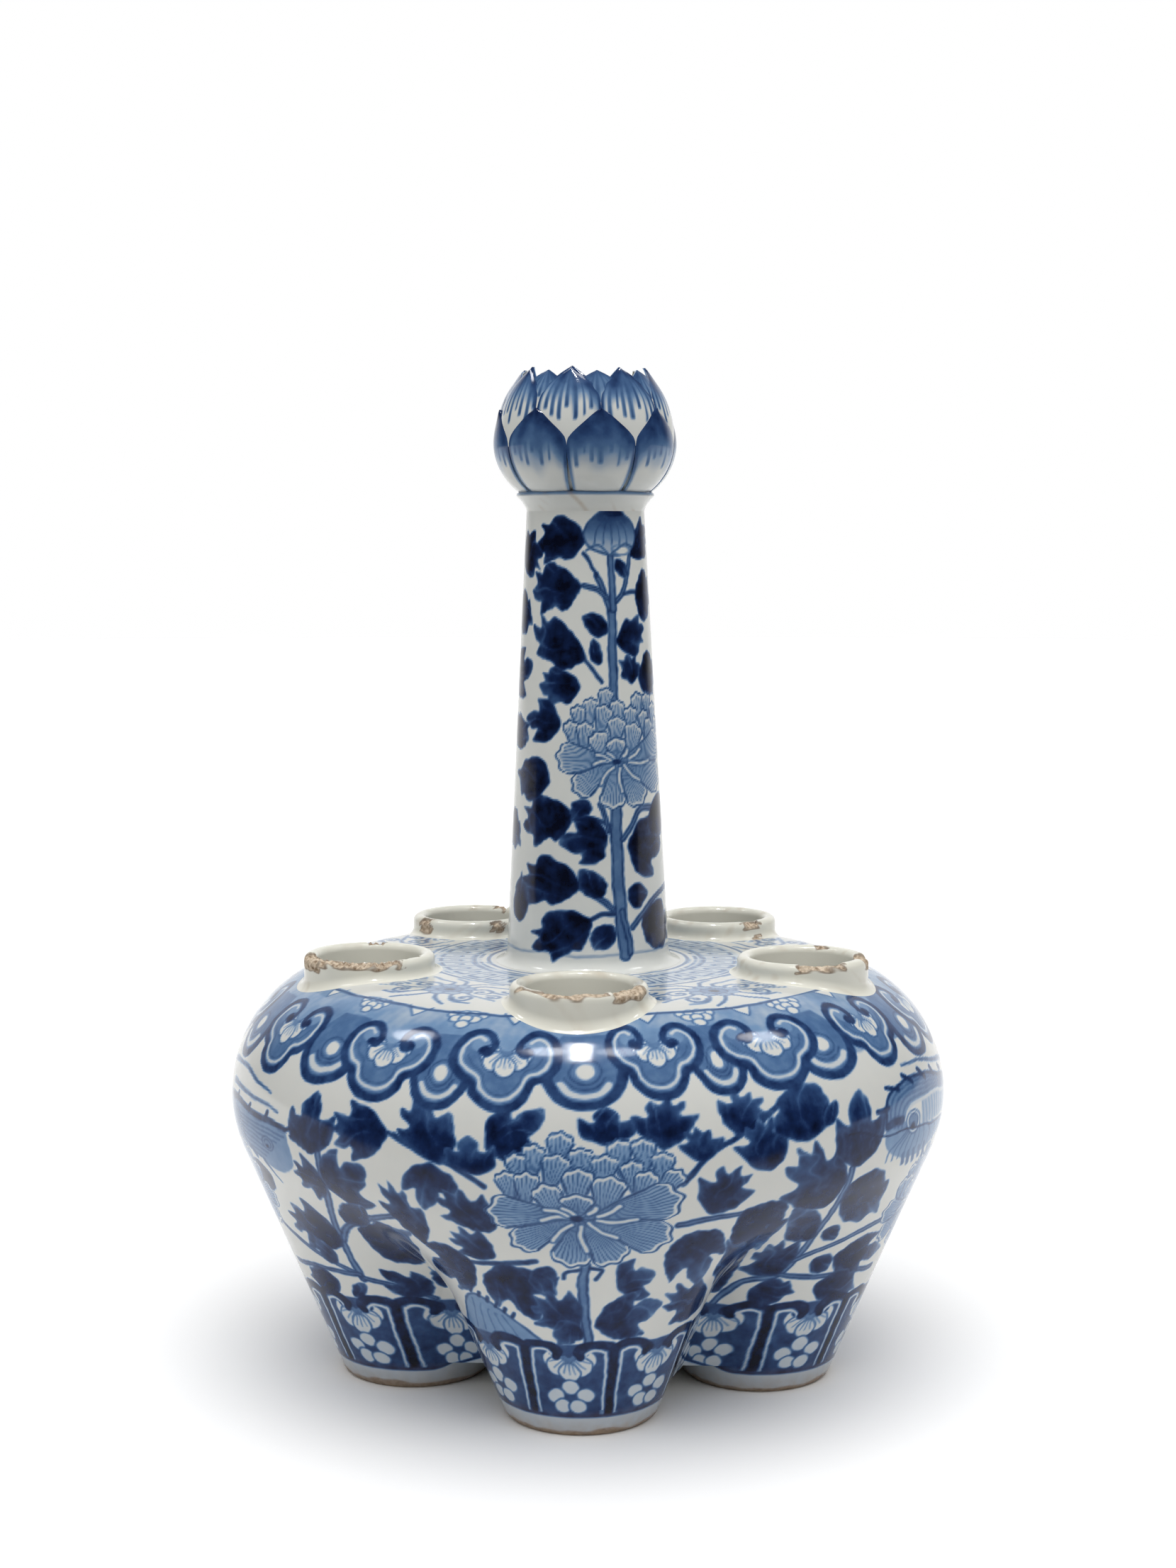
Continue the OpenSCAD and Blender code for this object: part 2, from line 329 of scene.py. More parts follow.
# Outlines of the kinds of leaf, as shares of its length from the stem and of its width
LEAVES = {
    "toothed": [
        (0, 0), (0.1, 0.2), (0.26, 0.4), (0.44, 0.5), (0.66, 0.6), (0.62, 0.4), (0.66, 0.28),
        (0.8, 0.36), (0.94, 0.3), (0.84, 0.13), (1.02, 0), (0.84, -0.12), (0.93, -0.3), (0.78, -0.32),
        (0.65, -0.28), (0.62, -0.4), (0.64, -0.6), (0.42, -0.52), (0.22, -0.42), (0.07, -0.2),
    ],
    "trefoil": [
        (0, 0), (0.08, 0.22), (0.2, 0.46), (0.42, 0.56), (0.7, 0.54), (0.6, 0.36), (0.6, 0.24),
        (0.78, 0.28), (1.02, 0.03), (0.82, -0.2), (0.62, -0.22), (0.62, -0.36), (0.7, -0.54),
        (0.44, -0.56), (0.2, -0.44), (0.06, -0.2),
    ],
    "heart": [
        (0, 0), (0.06, 0.22), (0.2, 0.46), (0.42, 0.52), (0.58, 0.4), (0.66, 0.46), (0.78, 0.3),
        (0.86, 0.14), (1.02, 0), (0.86, -0.12), (0.8, -0.34), (0.64, -0.42), (0.52, -0.5), (0.26, -0.46),
        (0.06, -0.22),
    ],
    "lobed": [
        (0, 0), (0.1, 0.2), (0.2, 0.38), (0.34, 0.5), (0.46, 0.43), (0.6, 0.5), (0.8, 0.56), (0.8, 0.32),
        (0.93, 0.26), (1.04, 0.06), (0.86, -0.08), (0.96, -0.3), (0.76, -0.28), (0.7, -0.46),
        (0.54, -0.52), (0.4, -0.43), (0.22, -0.34), (0.08, -0.18),
    ],
    "oval": [
        (0, 0), (0.12, 0.3), (0.36, 0.5), (0.62, 0.46), (0.86, 0.24), (1, 0), (0.86, -0.26),
        (0.62, -0.46), (0.34, -0.48), (0.1, -0.26),
    ],
}
# Fullness and tone of the leaves, and tone of the peonies, on the body and on the neck
LEAF_FULL = {BODY_FLAT: 1.1, NECK_FLAT: 1.0}
LEAF_TONE = {BODY_FLAT: INK - 0.05, NECK_FLAT: INK + 0.03}
PEONY_TONE = {BODY_FLAT: MID - 0.03, NECK_FLAT: WASH + 0.02}
# A stem wider than STEM_DOUBLE has a paler middle, and its two edges take up STEM_LINES together
STEM_DOUBLE = 1.1
STEM_LINES = 0.95


def leaf(canvas, flat, kind, stem_a, stem_h, tip_a, tip_h, width):
    """A dark leaf from its stem to its tip, given by angles and heights."""
    dx, dy = (tip_a - stem_a) * flat, tip_h - stem_h
    length = math.hypot(dx, dy)
    patch = canvas.patch(stem_a * flat, stem_h, length + width, math.atan2(dy, dx))
    if not len(patch.near):
        return
    width = width * LEAF_FULL[flat]
    bend = 0.15 * math.sin(stem_a * 3.1 + stem_h)
    points = curve(LEAVES[kind], closed=True, n=4) * (length * 1.04, width)
    points[:, 1] += bend * width * (points[:, 0] / length) ** 2
    some = patch.inside_box(points, 1)
    x, y = patch.x[some], patch.y[some]
    seed = int(abs(stem_a * 7 + stem_h * 13)) + 3
    gap = outline_distance(x, y, points) + 0.16 * waves(x / 3, y / 3, seed)
    # Strokes of the brush fan out from the stem, and the cobalt pools on one side
    fan = np.arctan2(y, x + 0.25 * length)
    stroke = np.abs(np.sin(fan * 7 + 1.4 * waves(x / 10, y / 10, seed + 5)))
    pool = np.clip(0.5 + 0.5 * waves(x / 16, y / 16, seed + 9), 0, 1)
    edge = 0.2 * np.exp(np.minimum(gap, 0) / 0.7)
    streaks = 0.22 * (1 - stroke) ** 3 * ease(x / length)
    paler = 0.22 * pool * ease(x / length - 0.1)
    patch.lay(some, soft(-gap), LEAF_TONE[flat] - edge - streaks - paler)


def stem(canvas, flat, points, width):
    """A double-line stem along a few angles and heights."""
    path = curve([(a * flat, h) for a, h in points])
    middle = path.mean(0)
    patch = canvas.patch(middle[0], middle[1], np.abs(path - middle).max() + 3)
    patch.line(path - middle, width, DEEP + 0.08)
    if width > STEM_DOUBLE:
        patch.line(path - middle, width - STEM_LINES, MID + 0.04)


def petal(patch, root, aim, length, spread, veins, ground):
    """A peony petal: a fan with a white scalloped edge and dark veins, root and aim in the patch."""
    dx, dy = patch.x - root[0], patch.y - root[1]
    some = np.flatnonzero(np.hypot(dx, dy) < length + 1)
    dx, dy = dx[some], dy[some]
    far = np.hypot(dx, dy)
    half = math.radians(spread)
    turn = np.arctan2(dy, dx) - math.radians(aim)
    side = (turn - 2 * math.pi * np.round(turn / (2 * math.pi))) / half
    from_tip = length * (1 - 0.15 * side**2 + 0.022 * np.cos(side * 9)) - far
    inner = np.minimum(from_tip, (1 - np.abs(side)) * half * np.maximum(far, 0.5))
    depth = from_tip / length
    vein = (0.5 + 0.5 * np.cos(side * veins * math.pi)) ** 2.5
    tone = ground - 0.12 + 0.14 * ease((depth - 0.1) / 0.6)
    tone = tone + 0.34 * vein * ease((from_tip - 0.8) / 0.3) * (1 - 0.7 * ease(depth / 0.9))
    tone = blend(tone, WHITE + 0.02, 1 - ease((from_tip - 0.7) / 0.5))
    line = np.clip(0.5 + (0.25 - np.abs(inner)) / 0.3, 0, 1)
    tone = blend(tone, DEEP + 0.04, line * (0.6 + 0.4 * ease(far / length)))
    patch.lay(some, soft(inner + 0.25), tone)


# Petals of a peony, from the back to the front: root across and up from the eye, direction in degrees,
# length, half spread in degrees and number of veins
CROWN = [
    (-2.9, 14.4, 84, 4.6, 32, 6), (7.4, 12.7, 97, 4.6, 32, 6), (11.5, 12.7, 94, 4.6, 32, 6),
    (-7.4, 11.0, 83, 5.3, 26, 6), (0.7, 11.3, 90, 4.5, 32, 6), (14.6, 10.2, 86, 4.4, 32, 6),
    (-9.9, 10.0, 97, 4.4, 30, 6), (4.6, 9.2, 89, 5.2, 30, 6), (9.6, 8.8, 94, 4.2, 34, 6),
    (-4.3, 8.5, 76, 6.0, 27, 7), (-11.5, 5.4, 101, 5.2, 27, 6), (14.6, 6.2, 52, 5.4, 25, 6),
    (11.0, 6.2, 70, 4.6, 33, 6), (-8.8, 4.4, 87, 6.1, 25, 6), (0, 5.7, 85, 5.7, 32, 7),
    (-3.5, 1.2, 108, 7.0, 26, 7), (4.4, 2.2, 78, 7.8, 25, 8),
]
# Petals round the eye, which they all start from: direction, length, half spread and number of veins
LARGE_PETALS = [
    (175, 16.0, 17, 11), (14, 18.6, 16, 12), (211, 13.6, 18, 11), (340, 18.0, 17, 12), (262, 12.0, 22, 9),
    (304, 13.6, 20, 9), (90, 6.0, 38, 9),
]
# The crown's petals start this far behind their roots, hidden by the petals in front of them
CROWN_ROOT = 4.0
# No part of a peony of size 1 lies further than this from its eye
PEONY_REACH = 20
# White slivers round the eye, from end to end
SLIVERS = [
    (-1.2, 0, -6.4, -0.8), (-1.6, 0.4, -5.6, 1.6), (-0.5, 0.8, -2.6, 2.2), (-1, -1.7, -4.4, -5.6),
    (0.7, -2, 1.4, -8), (2, -1, 7, -4.9), (3.6, -0.2, 10.6, -0.5), (3.6, 0.8, 7.2, 2.9),
    (1.9, 1.4, 3.2, 2.8),
]


def peony(canvas, flat, angle, height, size, mirror=1):
    patch = canvas.patch(angle * flat, height, PEONY_REACH * size, 0.0, mirror)
    if not len(patch.near):
        return
    patch.x, patch.y = patch.x / size, patch.y / size
    for x, y, aim, length, spread, veins in CROWN:
        whole = length + CROWN_ROOT
        half = math.asin(1.12 * length * math.sin(math.radians(spread)) / whole)
        root = (x, y) - polar(CROWN_ROOT, aim)
        petal(patch, root, aim, whole, math.degrees(half), veins, PEONY_TONE[flat] - 0.04)
    for aim, length, spread, veins in LARGE_PETALS:
        petal(patch, (0, 0), aim, length, spread, veins, PEONY_TONE[flat])
    for ax, ay, bx, by in SLIVERS:
        middle = ((ax + bx) / 2 + 0.09 * (by - ay), (ay + by) / 2 - 0.09 * (bx - ax))
        path = curve([(ax, ay), middle, (bx, by)])
        patch.line(path, 1.5, DEEP)
        patch.line(path, 0.85, WHITE + 0.03)
    patch.oval(-0.2, 0, 1.3, 0.8, DARK)


def half_flower(patch, x, y, size):
    """A white half flower that hangs from a point, with blue streaks."""
    for aim, length in ((200, 1.0), (340, 1.0), (228, 1.05), (312, 1.05), (270, 1.15)):
        dx, dy = polar(size * 0.62 * length, aim)
        patch.oval(x + dx, y + dy, size * 0.36, size * 0.36, WHITE, edge=DEEP)
    for aim in (205, 225, 240, 255, 270, 285, 300, 315, 335):
        streak = [(x, y) + polar(share * size, aim) for share in (0.15, 0.78)]
        patch.line(streak, 0.42, MID, taper=0.4)


# Ruyi border on the shoulder, in millimetres from the middle of a head and from the seam

HEAD_SIDE = [
    (0, 12.5), (3.0, 13.2), (5.4, 15.4), (6.5, 18.0), (9.0, 19.4), (11.2, 22.4), (11.5, 26.2),
    (9.8, 29.6), (6.8, 31.0), (4.2, 29.8), (3.0, 27.2), (4.0, 25.0), (5.6, 25.6),
]
HEAD_INSIDE = [
    (0, 14.5), (2.5, 15.1), (4.3, 16.9), (5.3, 19.4), (8.0, 20.9), (9.7, 23.2), (9.9, 26.0), (8.6, 28.4),
    (6.9, 29.2), (5.6, 28.4),
]
PENDANT_SIDE = [(0, 12.2), (2.8, 12.9), (5.0, 15.4), (6.2, 19.4), (6.0, 24.0)]
PENDANT_WHITE = [(-3.8, 17.0), (-2.4, 15.2), (0, 14.4), (2.4, 15.2), (3.8, 17.0)]
HEAD_MIDDLE, HEAD_REACH = 22, 17
PENDANT_MIDDLE, PENDANT_REACH = 19, 14
RUYI_LINE = 1.85
FLORET = [(-2.9, 1.4), (2.9, 1.4), (-1.0, 1.7), (1.0, 1.7), (-1.9, 0.1), (1.9, 0.1), (0, 0.2), (0, -1.4)]
FLORET_SIZE = 1.2
WASH_LOW, WASH_TOP = 20, 38.6
# Ruyi heads and the leaves between them, spaced one by one: degrees from the front, width, rise
HEADS = [
    (-58.5, 0.9, -0.3), (-32.5, 0.93, -0.4), (-11.3, 0.91, 0.3), (13.2, 0.8, 3.0), (33.5, 1.0, 2.8),
    (58, 0.84, 2.8), (82, 0.95, 1.6), (106, 0.9, 0.6), (130, 1.0, 0.2), (154, 0.92, 0.9),
    (178, 0.95, 0.1), (202, 0.9, 1.0), (226, 1.0, 1.4), (250, 0.95, 0.6), (275, 0.95, 0.2),
]
BETWEEN = [
    (-44, 1.15, 1.4), (-21.2, 0.85, -0.2), (1.6, 1.15, 1.4), (23.1, 0.8, 3.4), (44, 1.2, 3.6),
    (71, 1.1, 2.0), (94, 1.0, 1.2), (118, 0.95, 0.4), (142, 1.05, 0.8), (166, 0.95, 0.6),
    (190, 1.0, 0.6), (214, 1.0, 1.4), (238, 0.95, 1.0), (262, 1.0, 0.4), (288, 1.05, 0.2),
]


def both_sides(points):
    p = np.asarray(points, float)
    return np.vstack([p[::-1] * (-1, 1), p[1:]])


def ruyi_head(canvas, angle, width, rise):
    """A ruyi head: two curling lobes above a round one, and a half flower between the curls."""
    patch = canvas.motif(angle * BODY_FLAT, SEAM_Z + rise, HEAD_MIDDLE, HEAD_REACH, width)
    side = curve(both_sides(HEAD_SIDE))
    patch.fill(side, MID + 0.05)
    for mirror in (-1, 1):
        patch.oval(mirror * 5.4, 27.2, 3.0, 2.0, WASH + 0.06)
    patch.line(curve(both_sides(HEAD_INSIDE)), 0.85, WHITE + 0.05)
    fold = np.asarray(HEAD_INSIDE[:6]) * (0.86, 1) + (0, 1.1)
    patch.line(curve(both_sides(fold)), 0.32, DEEP - 0.06)
    half_flower(patch, 0.2, 26.2, 6.2)
    patch.line(side, RUYI_LINE, DEEP + 0.1)
    for mirror in (-1, 1):
        patch.oval(mirror * 4.9, 25.9, 1.35, 1.1, DARK - 0.04)


def pendant(canvas, angle, width, rise):
    """The part of a lower leaf that shows between two heads, with a white dot and a white crescent."""
    patch = canvas.motif(angle * BODY_FLAT, SEAM_Z + rise, PENDANT_MIDDLE, PENDANT_REACH, width)
    side = curve(both_sides(PENDANT_SIDE))
    patch.fill(np.vstack([side, [(4, 30), (-4, 30)]]), MID + 0.06)
    patch.line(curve(PENDANT_WHITE), 1.3, WHITE + 0.04)
    patch.line(curve(np.asarray(PENDANT_WHITE) * (0.85, 1) + (0, 1.5)), 0.35, DEEP)
    patch.line(side, RUYI_LINE, DEEP + 0.09)
    patch.oval(0, 20.0, 2.4, 2.8, MID + 0.03, edge=DEEP)
    patch.oval(0, 20.0, 1.55, 2.0, WHITE)


def floret(canvas, angle, rise):
    """A hanging flower of white scale petals with blue edges."""
    patch = canvas.patch(angle * BODY_FLAT, SEAM_Z + 35.2 + rise / 3, 7)
    for x, y in np.array(FLORET) * FLORET_SIZE:
        patch.oval(x, y, 1.15 * FLORET_SIZE, 0.95 * FLORET_SIZE, WHITE, edge=DEEP - 0.1)


def notch(canvas, angle, rise):
    """A white corner with a blue edge above a head."""
    patch = canvas.patch(angle * BODY_FLAT, SEAM_Z + 35.6 + rise / 3, 6)
    patch.fill([(-3.0, 3.2), (3.2, 3.2), (0.3, -1.2)], WHITE)
    patch.line([(-3.2, 3.0), (0.3, -1.4), (3.3, 3.0)], 0.4, DEEP - 0.1)


def paint_ruyi_band(canvas):
    s = canvas.y - SEAM_Z
    top = WASH_TOP + 1.1 * np.sin(canvas.x / BODY_FLAT * 0.0349) + 0.5 * np.sin(canvas.x * 0.11 + 1)
    shade = WASH + 0.01 + 0.06 * waves(canvas.x / 14, s / 14, 11) + 0.03 * waves(canvas.x / 3, s / 9, 12)
    canvas.blend(soft(s - WASH_LOW) * soft(top - s), shade)
    for angle, width, rise in BETWEEN:
        floret(canvas, angle, rise)
        pendant(canvas, angle, width, rise)
    for angle, width, rise in HEADS:
        notch(canvas, angle, rise)
        ruyi_head(canvas, angle, width, rise)
    canvas.blend(soft(0.45 - np.abs(s - top)), DEEP - 0.04)


# Border of panels above the feet, in millimetres from the middle of a panel and from the table

PANEL_TOP = 24.4
PANEL_FOOT = 5.4
SCROLL = [(0, 23.2), (1.4, 24.2), (4.4, 24.6), (6.8, 24.0), (8.0, 22.6), (7.4, 21.2)]
SCROLL_INSIDE = [(1.75, 6), (1.75, 20.6), (2.4, 22.6), (4.6, 23.0), (6.0, 22.2), (6.5, 21.2)]
PANEL_MIDDLE, PANEL_REACH = 15, 13
# Panels narrower than this to each side squeeze their flowers
PANEL_FULL = 9.5
PANEL_FLOWER = [(0.3, 13.1), (-3.6, 10.9), (4.2, 11.3), (-1.8, 8.3), (2.2, 8.1)]
BORDER_HALF = 52
ARCH_RISE = 9


def panel(canvas, middle, half):
    """A blue panel with a half flower above five white petals."""
    patch = canvas.motif(middle, 0, PANEL_MIDDLE, PANEL_REACH)
    outline = [(-half, PANEL_FOOT), (half, PANEL_FOOT), (half, PANEL_TOP), (-half, PANEL_TOP)]
    patch.fill(outline, MID + 0.25)
    patch.x = patch.x / min(1.0, half / PANEL_FULL)
    half_flower(patch, 0.2, 21.8, 6.5)
    for x, y in PANEL_FLOWER:
        patch.oval(x, y, 2.15, 1.75, WHITE, edge=MID + 0.2)
    for mirror in (-1, 1):
        patch.oval(mirror * 2.9, 22.4, 1.7, 1.4, DARK)


def bar(canvas, middle):
    """An upright dark bar that curls to both sides at its top."""
    patch = canvas.motif(middle, 0, PANEL_MIDDLE, PANEL_REACH)
    for mirror in (-1, 1):
        patch.line(curve(np.asarray(SCROLL_INSIDE) * (mirror, 1)), 0.75, WHITE + 0.04)
        patch.line([(mirror * 2.5, 6), (mirror * 2.5, 20.5)], 0.35, DEEP)
        patch.line(curve(np.asarray(SCROLL) * (mirror, 1)), 1.9, DARK + 0.03)
    patch.line([(0, 5.8), (0, 23.5)], 2.0, DARK + 0.06)


def paint_border(canvas, bars):
    """The panels of one lobe. The canvas has millimetres from the lobe's middle and from the table."""
    ends = [-BORDER_HALF, *bars, BORDER_HALF]
    for low, high in zip(ends, ends[1:]):
        panel(canvas, (low + high) / 2, (high - low) / 2)
    for middle in bars:
        bar(canvas, middle)
    patch = canvas.patch(0, PANEL_FOOT, BORDER_HALF + 2)
    patch.line([(-BORDER_HALF - 1, 0), (BORDER_HALF + 1, 0)], 0.7, DEEP + 0.06)


def leave_arch_white(tone, turn, z):
    """The border ends in a white band, which rises along the arches. turn is measured round the foot."""
    edge = PANEL_FOOT + ARCH_RISE * ease((np.abs(turn) - 88) / 60)
    line = soft(0.45 - np.abs(z - edge)) * (z < PANEL_TOP - 3)
    return blend(blend(tone, DEEP + 0.06, line), WHITE, soft(edge - 0.4 - z))


# Leaves of a lobe with a full peony: kind, angle and height of the stem and of the tip, width

LOBE_LEAVES = [
    ("trefoil", -20.5, 67.5, -22, 57, 8.5), ("toothed", -18.8, 67.5, -24, 80.3, 8.5),
    ("toothed", -12.6, 52, -18.6, 61.5, 8), ("toothed", -12.7, 45.5, -19.2, 51, 6.5),
    ("trefoil", -17, 43.5, -27.3, 38.5, 10.5), ("toothed", -26.6, 46, -27.3, 61.5, 7.5),
    ("trefoil", -12, 44.6, -8.3, 30.5, 11.5), ("heart", -6.4, 43.7, -2.6, 38.6, 5.4),
    ("toothed", 0.6, 29.5, -6.4, 36.2, 9), ("heart", 0.3, 30.5, -3.2, 24.4, 5.5),
    ("trefoil", 6.6, 39, 12.9, 41.8, 9), ("trefoil", 3.2, 29.8, 14.8, 31.8, 9.6),
    ("toothed", 27, 28.6, 16, 34.6, 9.5), ("trefoil", 17.4, 52.3, 22.8, 38, 10.5),
    ("toothed", 20.1, 56.2, 23.3, 66.6, 9), ("trefoil", -12.4, 71.6, -4, 78, 9.5),
    ("trefoil", 5, 73, 5.2, 80.4, 8.4), ("toothed", 13, 71.8, 12.8, 82.3, 9.4),
    ("toothed", 24, 73.8, 26.2, 82.6, 8.4), ("toothed", 19.2, 68.4, 18.4, 75.5, 6.4),
    ("toothed", 29.4, 65, 26.6, 76.2, 8.4), ("trefoil", -14, 65.5, -15.3, 73.8, 7.4),
]
LOBE_STEMS = [
    ([(1.6, 45), (1.2, 38), (2.3, 24)], 2.0),
    ([(-13, 63), (-18.5, 68), (-27, 72.5)], 1.1), ([(15.5, 64), (20.5, 70.4), (31, 79)], 1.1),
    ([(15.5, 54.6), (20, 55), (27, 55.6)], 1.3), ([(-17, 43.6), (-12, 44.6), (-6, 45.6)], 1.1),
    ([(0.6, 44), (-1.4, 43), (-1.6, 41.5)], 0.8), ([(2.4, 44.5), (4.2, 43.6), (3.2, 41.5)], 0.8),
]
# Leaves over a furrow, by angles from the front: one group for the left one, one for the right one
LEFT_LEAVES = [
    ("trefoil", -42, 56.5, -32, 61.5, 11.5), ("heart", -43, 37, -30, 49.3, 11.5),
    ("toothed", -41.8, 57.5, -48.8, 58, 9), ("oval", -44.3, 46.6, -36.4, 53.4, 5.4),
    ("toothed", -48.8, 40, -58.6, 46.5, 13), ("heart", -53.5, 33, -56, 39.2, 5),
    ("trefoil", -40.4, 25.8, -44.6, 33.2, 7.5), ("oval", -54, 24.6, -50, 28.4, 3),
    ("heart", -56, 28, -64.5, 26.4, 6), ("heart", -59, 54, -70, 52.5, 7),
    ("toothed", -28.2, 72.4, -38.2, 71, 10), ("trefoil", -43.5, 64.5, -44, 77.8, 10.5),
    ("heart", -37.5, 28, -37, 34, 2.6),
]
LEFT_STEMS = [
    ([(-50, 30), (-49, 40), (-46, 49), (-42.5, 57), (-41.5, 66)], 1.7),
    ([(-48.6, 41), (-45, 45), (-40, 48), (-29.5, 53)], 1.4),
    ([(-50, 30.5), (-44, 28), (-40, 25)], 1.3), ([(-50, 31), (-57, 35), (-66, 40.5)], 1.3),
    ([(-50, 31), (-58, 31), (-68, 30.3)], 1.2), ([(-28, 72.6), (-24, 70.5), (-18.5, 68)], 0.9),
]
RIGHT_LEAVES = [
    ("heart", 26, 56, 37.4, 43.6, 11.5), ("heart", 37.2, 27.6, 24.6, 46.6, 9.5),
    ("toothed", 43.4, 52.8, 33, 67, 12), ("oval", 46, 42.4, 36.8, 53.6, 6),
    ("heart", 46, 57.5, 59, 48.2, 11), ("oval", 47.3, 45.6, 51.3, 42.4, 3.6),
    ("toothed", 45.4, 33, 37.8, 41.6, 8.5), ("oval", 50, 36.8, 54, 33.4, 4.2),
    ("trefoil", 54, 36.6, 67.4, 34, 8.5), ("heart", 42, 28.5, 49.4, 26.6, 7),
    ("heart", 53.2, 29.4, 64.4, 26, 7), ("heart", 35.4, 70.4, 34.6, 84, 11.5),
    ("trefoil", 46, 62, 47, 78, 11), ("oval", 39.2, 73, 42, 77.6, 3),
]
RIGHT_STEMS = [
    ([(36.4, 22), (38.6, 28), (40.4, 31.2), (45, 32.6), (46.2, 38), (45.6, 48), (45.2, 62)], 1.7),
    ([(46, 37), (50, 39.4), (56, 42.4), (62, 43.6)], 1.5), ([(45, 33), (52, 31.8), (68, 30.2)], 1.3),
    ([(31, 79), (26, 75), (20.5, 70.4)], 0.9),
]
BACK_LEAVES = [
    ("trefoil", 175, 40, 186, 52, 11), ("heart", 184, 62, 176, 52, 9), ("toothed", 180, 66, 180, 80, 9),
]
# Lobes with a full peony, counted from the front, and how they are mirrored
PEONY_LOBES = [(0, 1), (2, 1), (3, -1)]
# Other peonies: angle, height, size and how they are mirrored
SIDE_PEONIES = [(-74, 47, 0.86, -1), (73, 44.5, 0.86, 1)]

# Butterflies above the peonies of the side lobes, by angles from the front and heights

RIGHT_WING = [
    (52.8, 69.5), (52.8, 72.5), (54, 75.4), (57, 77.2), (62, 78), (68, 77.2), (75, 75.2), (82, 72.5),
    (88, 70),
]
RIGHT_INNER = [
    (58.2, 67.5), (58.4, 69), (59.2, 70.6), (61.2, 72), (65, 72.4), (69, 72.2), (74, 71.4), (80, 70.4),
    (86, 69),
]
RIGHT_FAN = [
    (53, 69.5), (58, 68), (60, 65.4), (64, 66), (74, 65), (82, 63.4), (76, 61.4), (69, 60), (62, 59.6),
    (57, 61), (53, 64.2),
]
RIGHT_TUFTS = [
    ((53.4, 73), (50.7, 73.3)), ((57.4, 76.4), (54, 77.7)), ((62.8, 76.8), (59.8, 79.2)),
    ((68.2, 76.2), (66, 78.8)), ((72.8, 75.8), (71.6, 77.7)), ((79, 74.8), (77.6, 76.2)),
]
LEFT_WING = [
    (-50, 68.6), (-55, 68.8), (-62, 68.8), (-70, 69.6), (-80, 69.4), (-88, 68), (-84, 62), (-76, 61.2),
    (-70, 61), (-64, 60), (-60, 58.4), (-56, 57.2), (-52, 57.6), (-49, 59.6), (-48.6, 63), (-49, 66),
]
LEFT_TUFTS = [
    ((-50, 68.4), (-48.6, 69.2)), ((-55.9, 68.8), (-55.1, 70.5)), ((-63, 68.8), (-62, 70.4)),
    ((-69.6, 69.6), (-69, 70.9)),
]
FEATHERS = [
    [(-79, 76.6), (-70, 77.8), (-65, 77.5), (-60, 76.2), (-55, 75.1)],
    [(-74, 72.6), (-63, 72.6), (-58, 72.3), (-52, 71.7)],
    [(88, 75), (80, 77.2), (71, 79.6), (66, 81), (60.8, 81.2)], [(-58.8, 58), (-57, 56), (-55.5, 53.8)],
]
# A hairline crack in the glaze, browned with age
CRACK = [
    (44, 69.8), (46, 69.5), (48, 69), (50, 68.1), (52, 67.7), (54, 67.4), (57, 67.2), (60, 66.6),
    (63, 66.2), (66, 66), (69, 65), (72, 64.8), (76, 64.4), (82, 63.2),
]
BUD = [
    (-23.6, 24.8), (-22.8, 29), (-21, 33), (-18.6, 34.4), (-15, 32.6), (-10.4, 29), (-6.2, 25.2),
    (-14, 24.4),
]


def region(canvas, points):
    """A patch round a list of angles and heights, and the list in the patch's coordinates."""
    flat = np.asarray(points, float) * (BODY_FLAT, 1)
    middle = (flat.min(0) + flat.max(0)) / 2
    patch = canvas.patch(middle[0], middle[1], np.abs(flat - middle).max() + 4)
    return patch, flat - middle


def mark(canvas, points, width, tone, taper=0.0):
    """A brush line along angles and heights."""
    patch, flat = region(canvas, points)
    if len(patch.near):
        patch.line(curve(flat, n=4), width, tone, taper)


def area(canvas, points, tone):
    """A filled outline along angles and heights. Tells whether any of it lies on the canvas."""
    patch, flat = region(canvas, points)
    patch.fill(curve(flat, closed=True, n=4), tone)
    return len(patch.near) > 0


def eye_spot(canvas, angle, height, rx, ry):
    patch = canvas.patch(angle * BODY_FLAT, height, 2 * max(rx, ry) + 2)
    patch.oval(0, 0, rx, ry, WHITE, edge=DEEP)
    patch.oval(0, 0, 0.64 * rx, 0.66 * ry, MID, edge=DEEP)
    patch.oval(-0.3, -0.4 * ry, 0.34 * rx, 0.3 * ry, DARK)


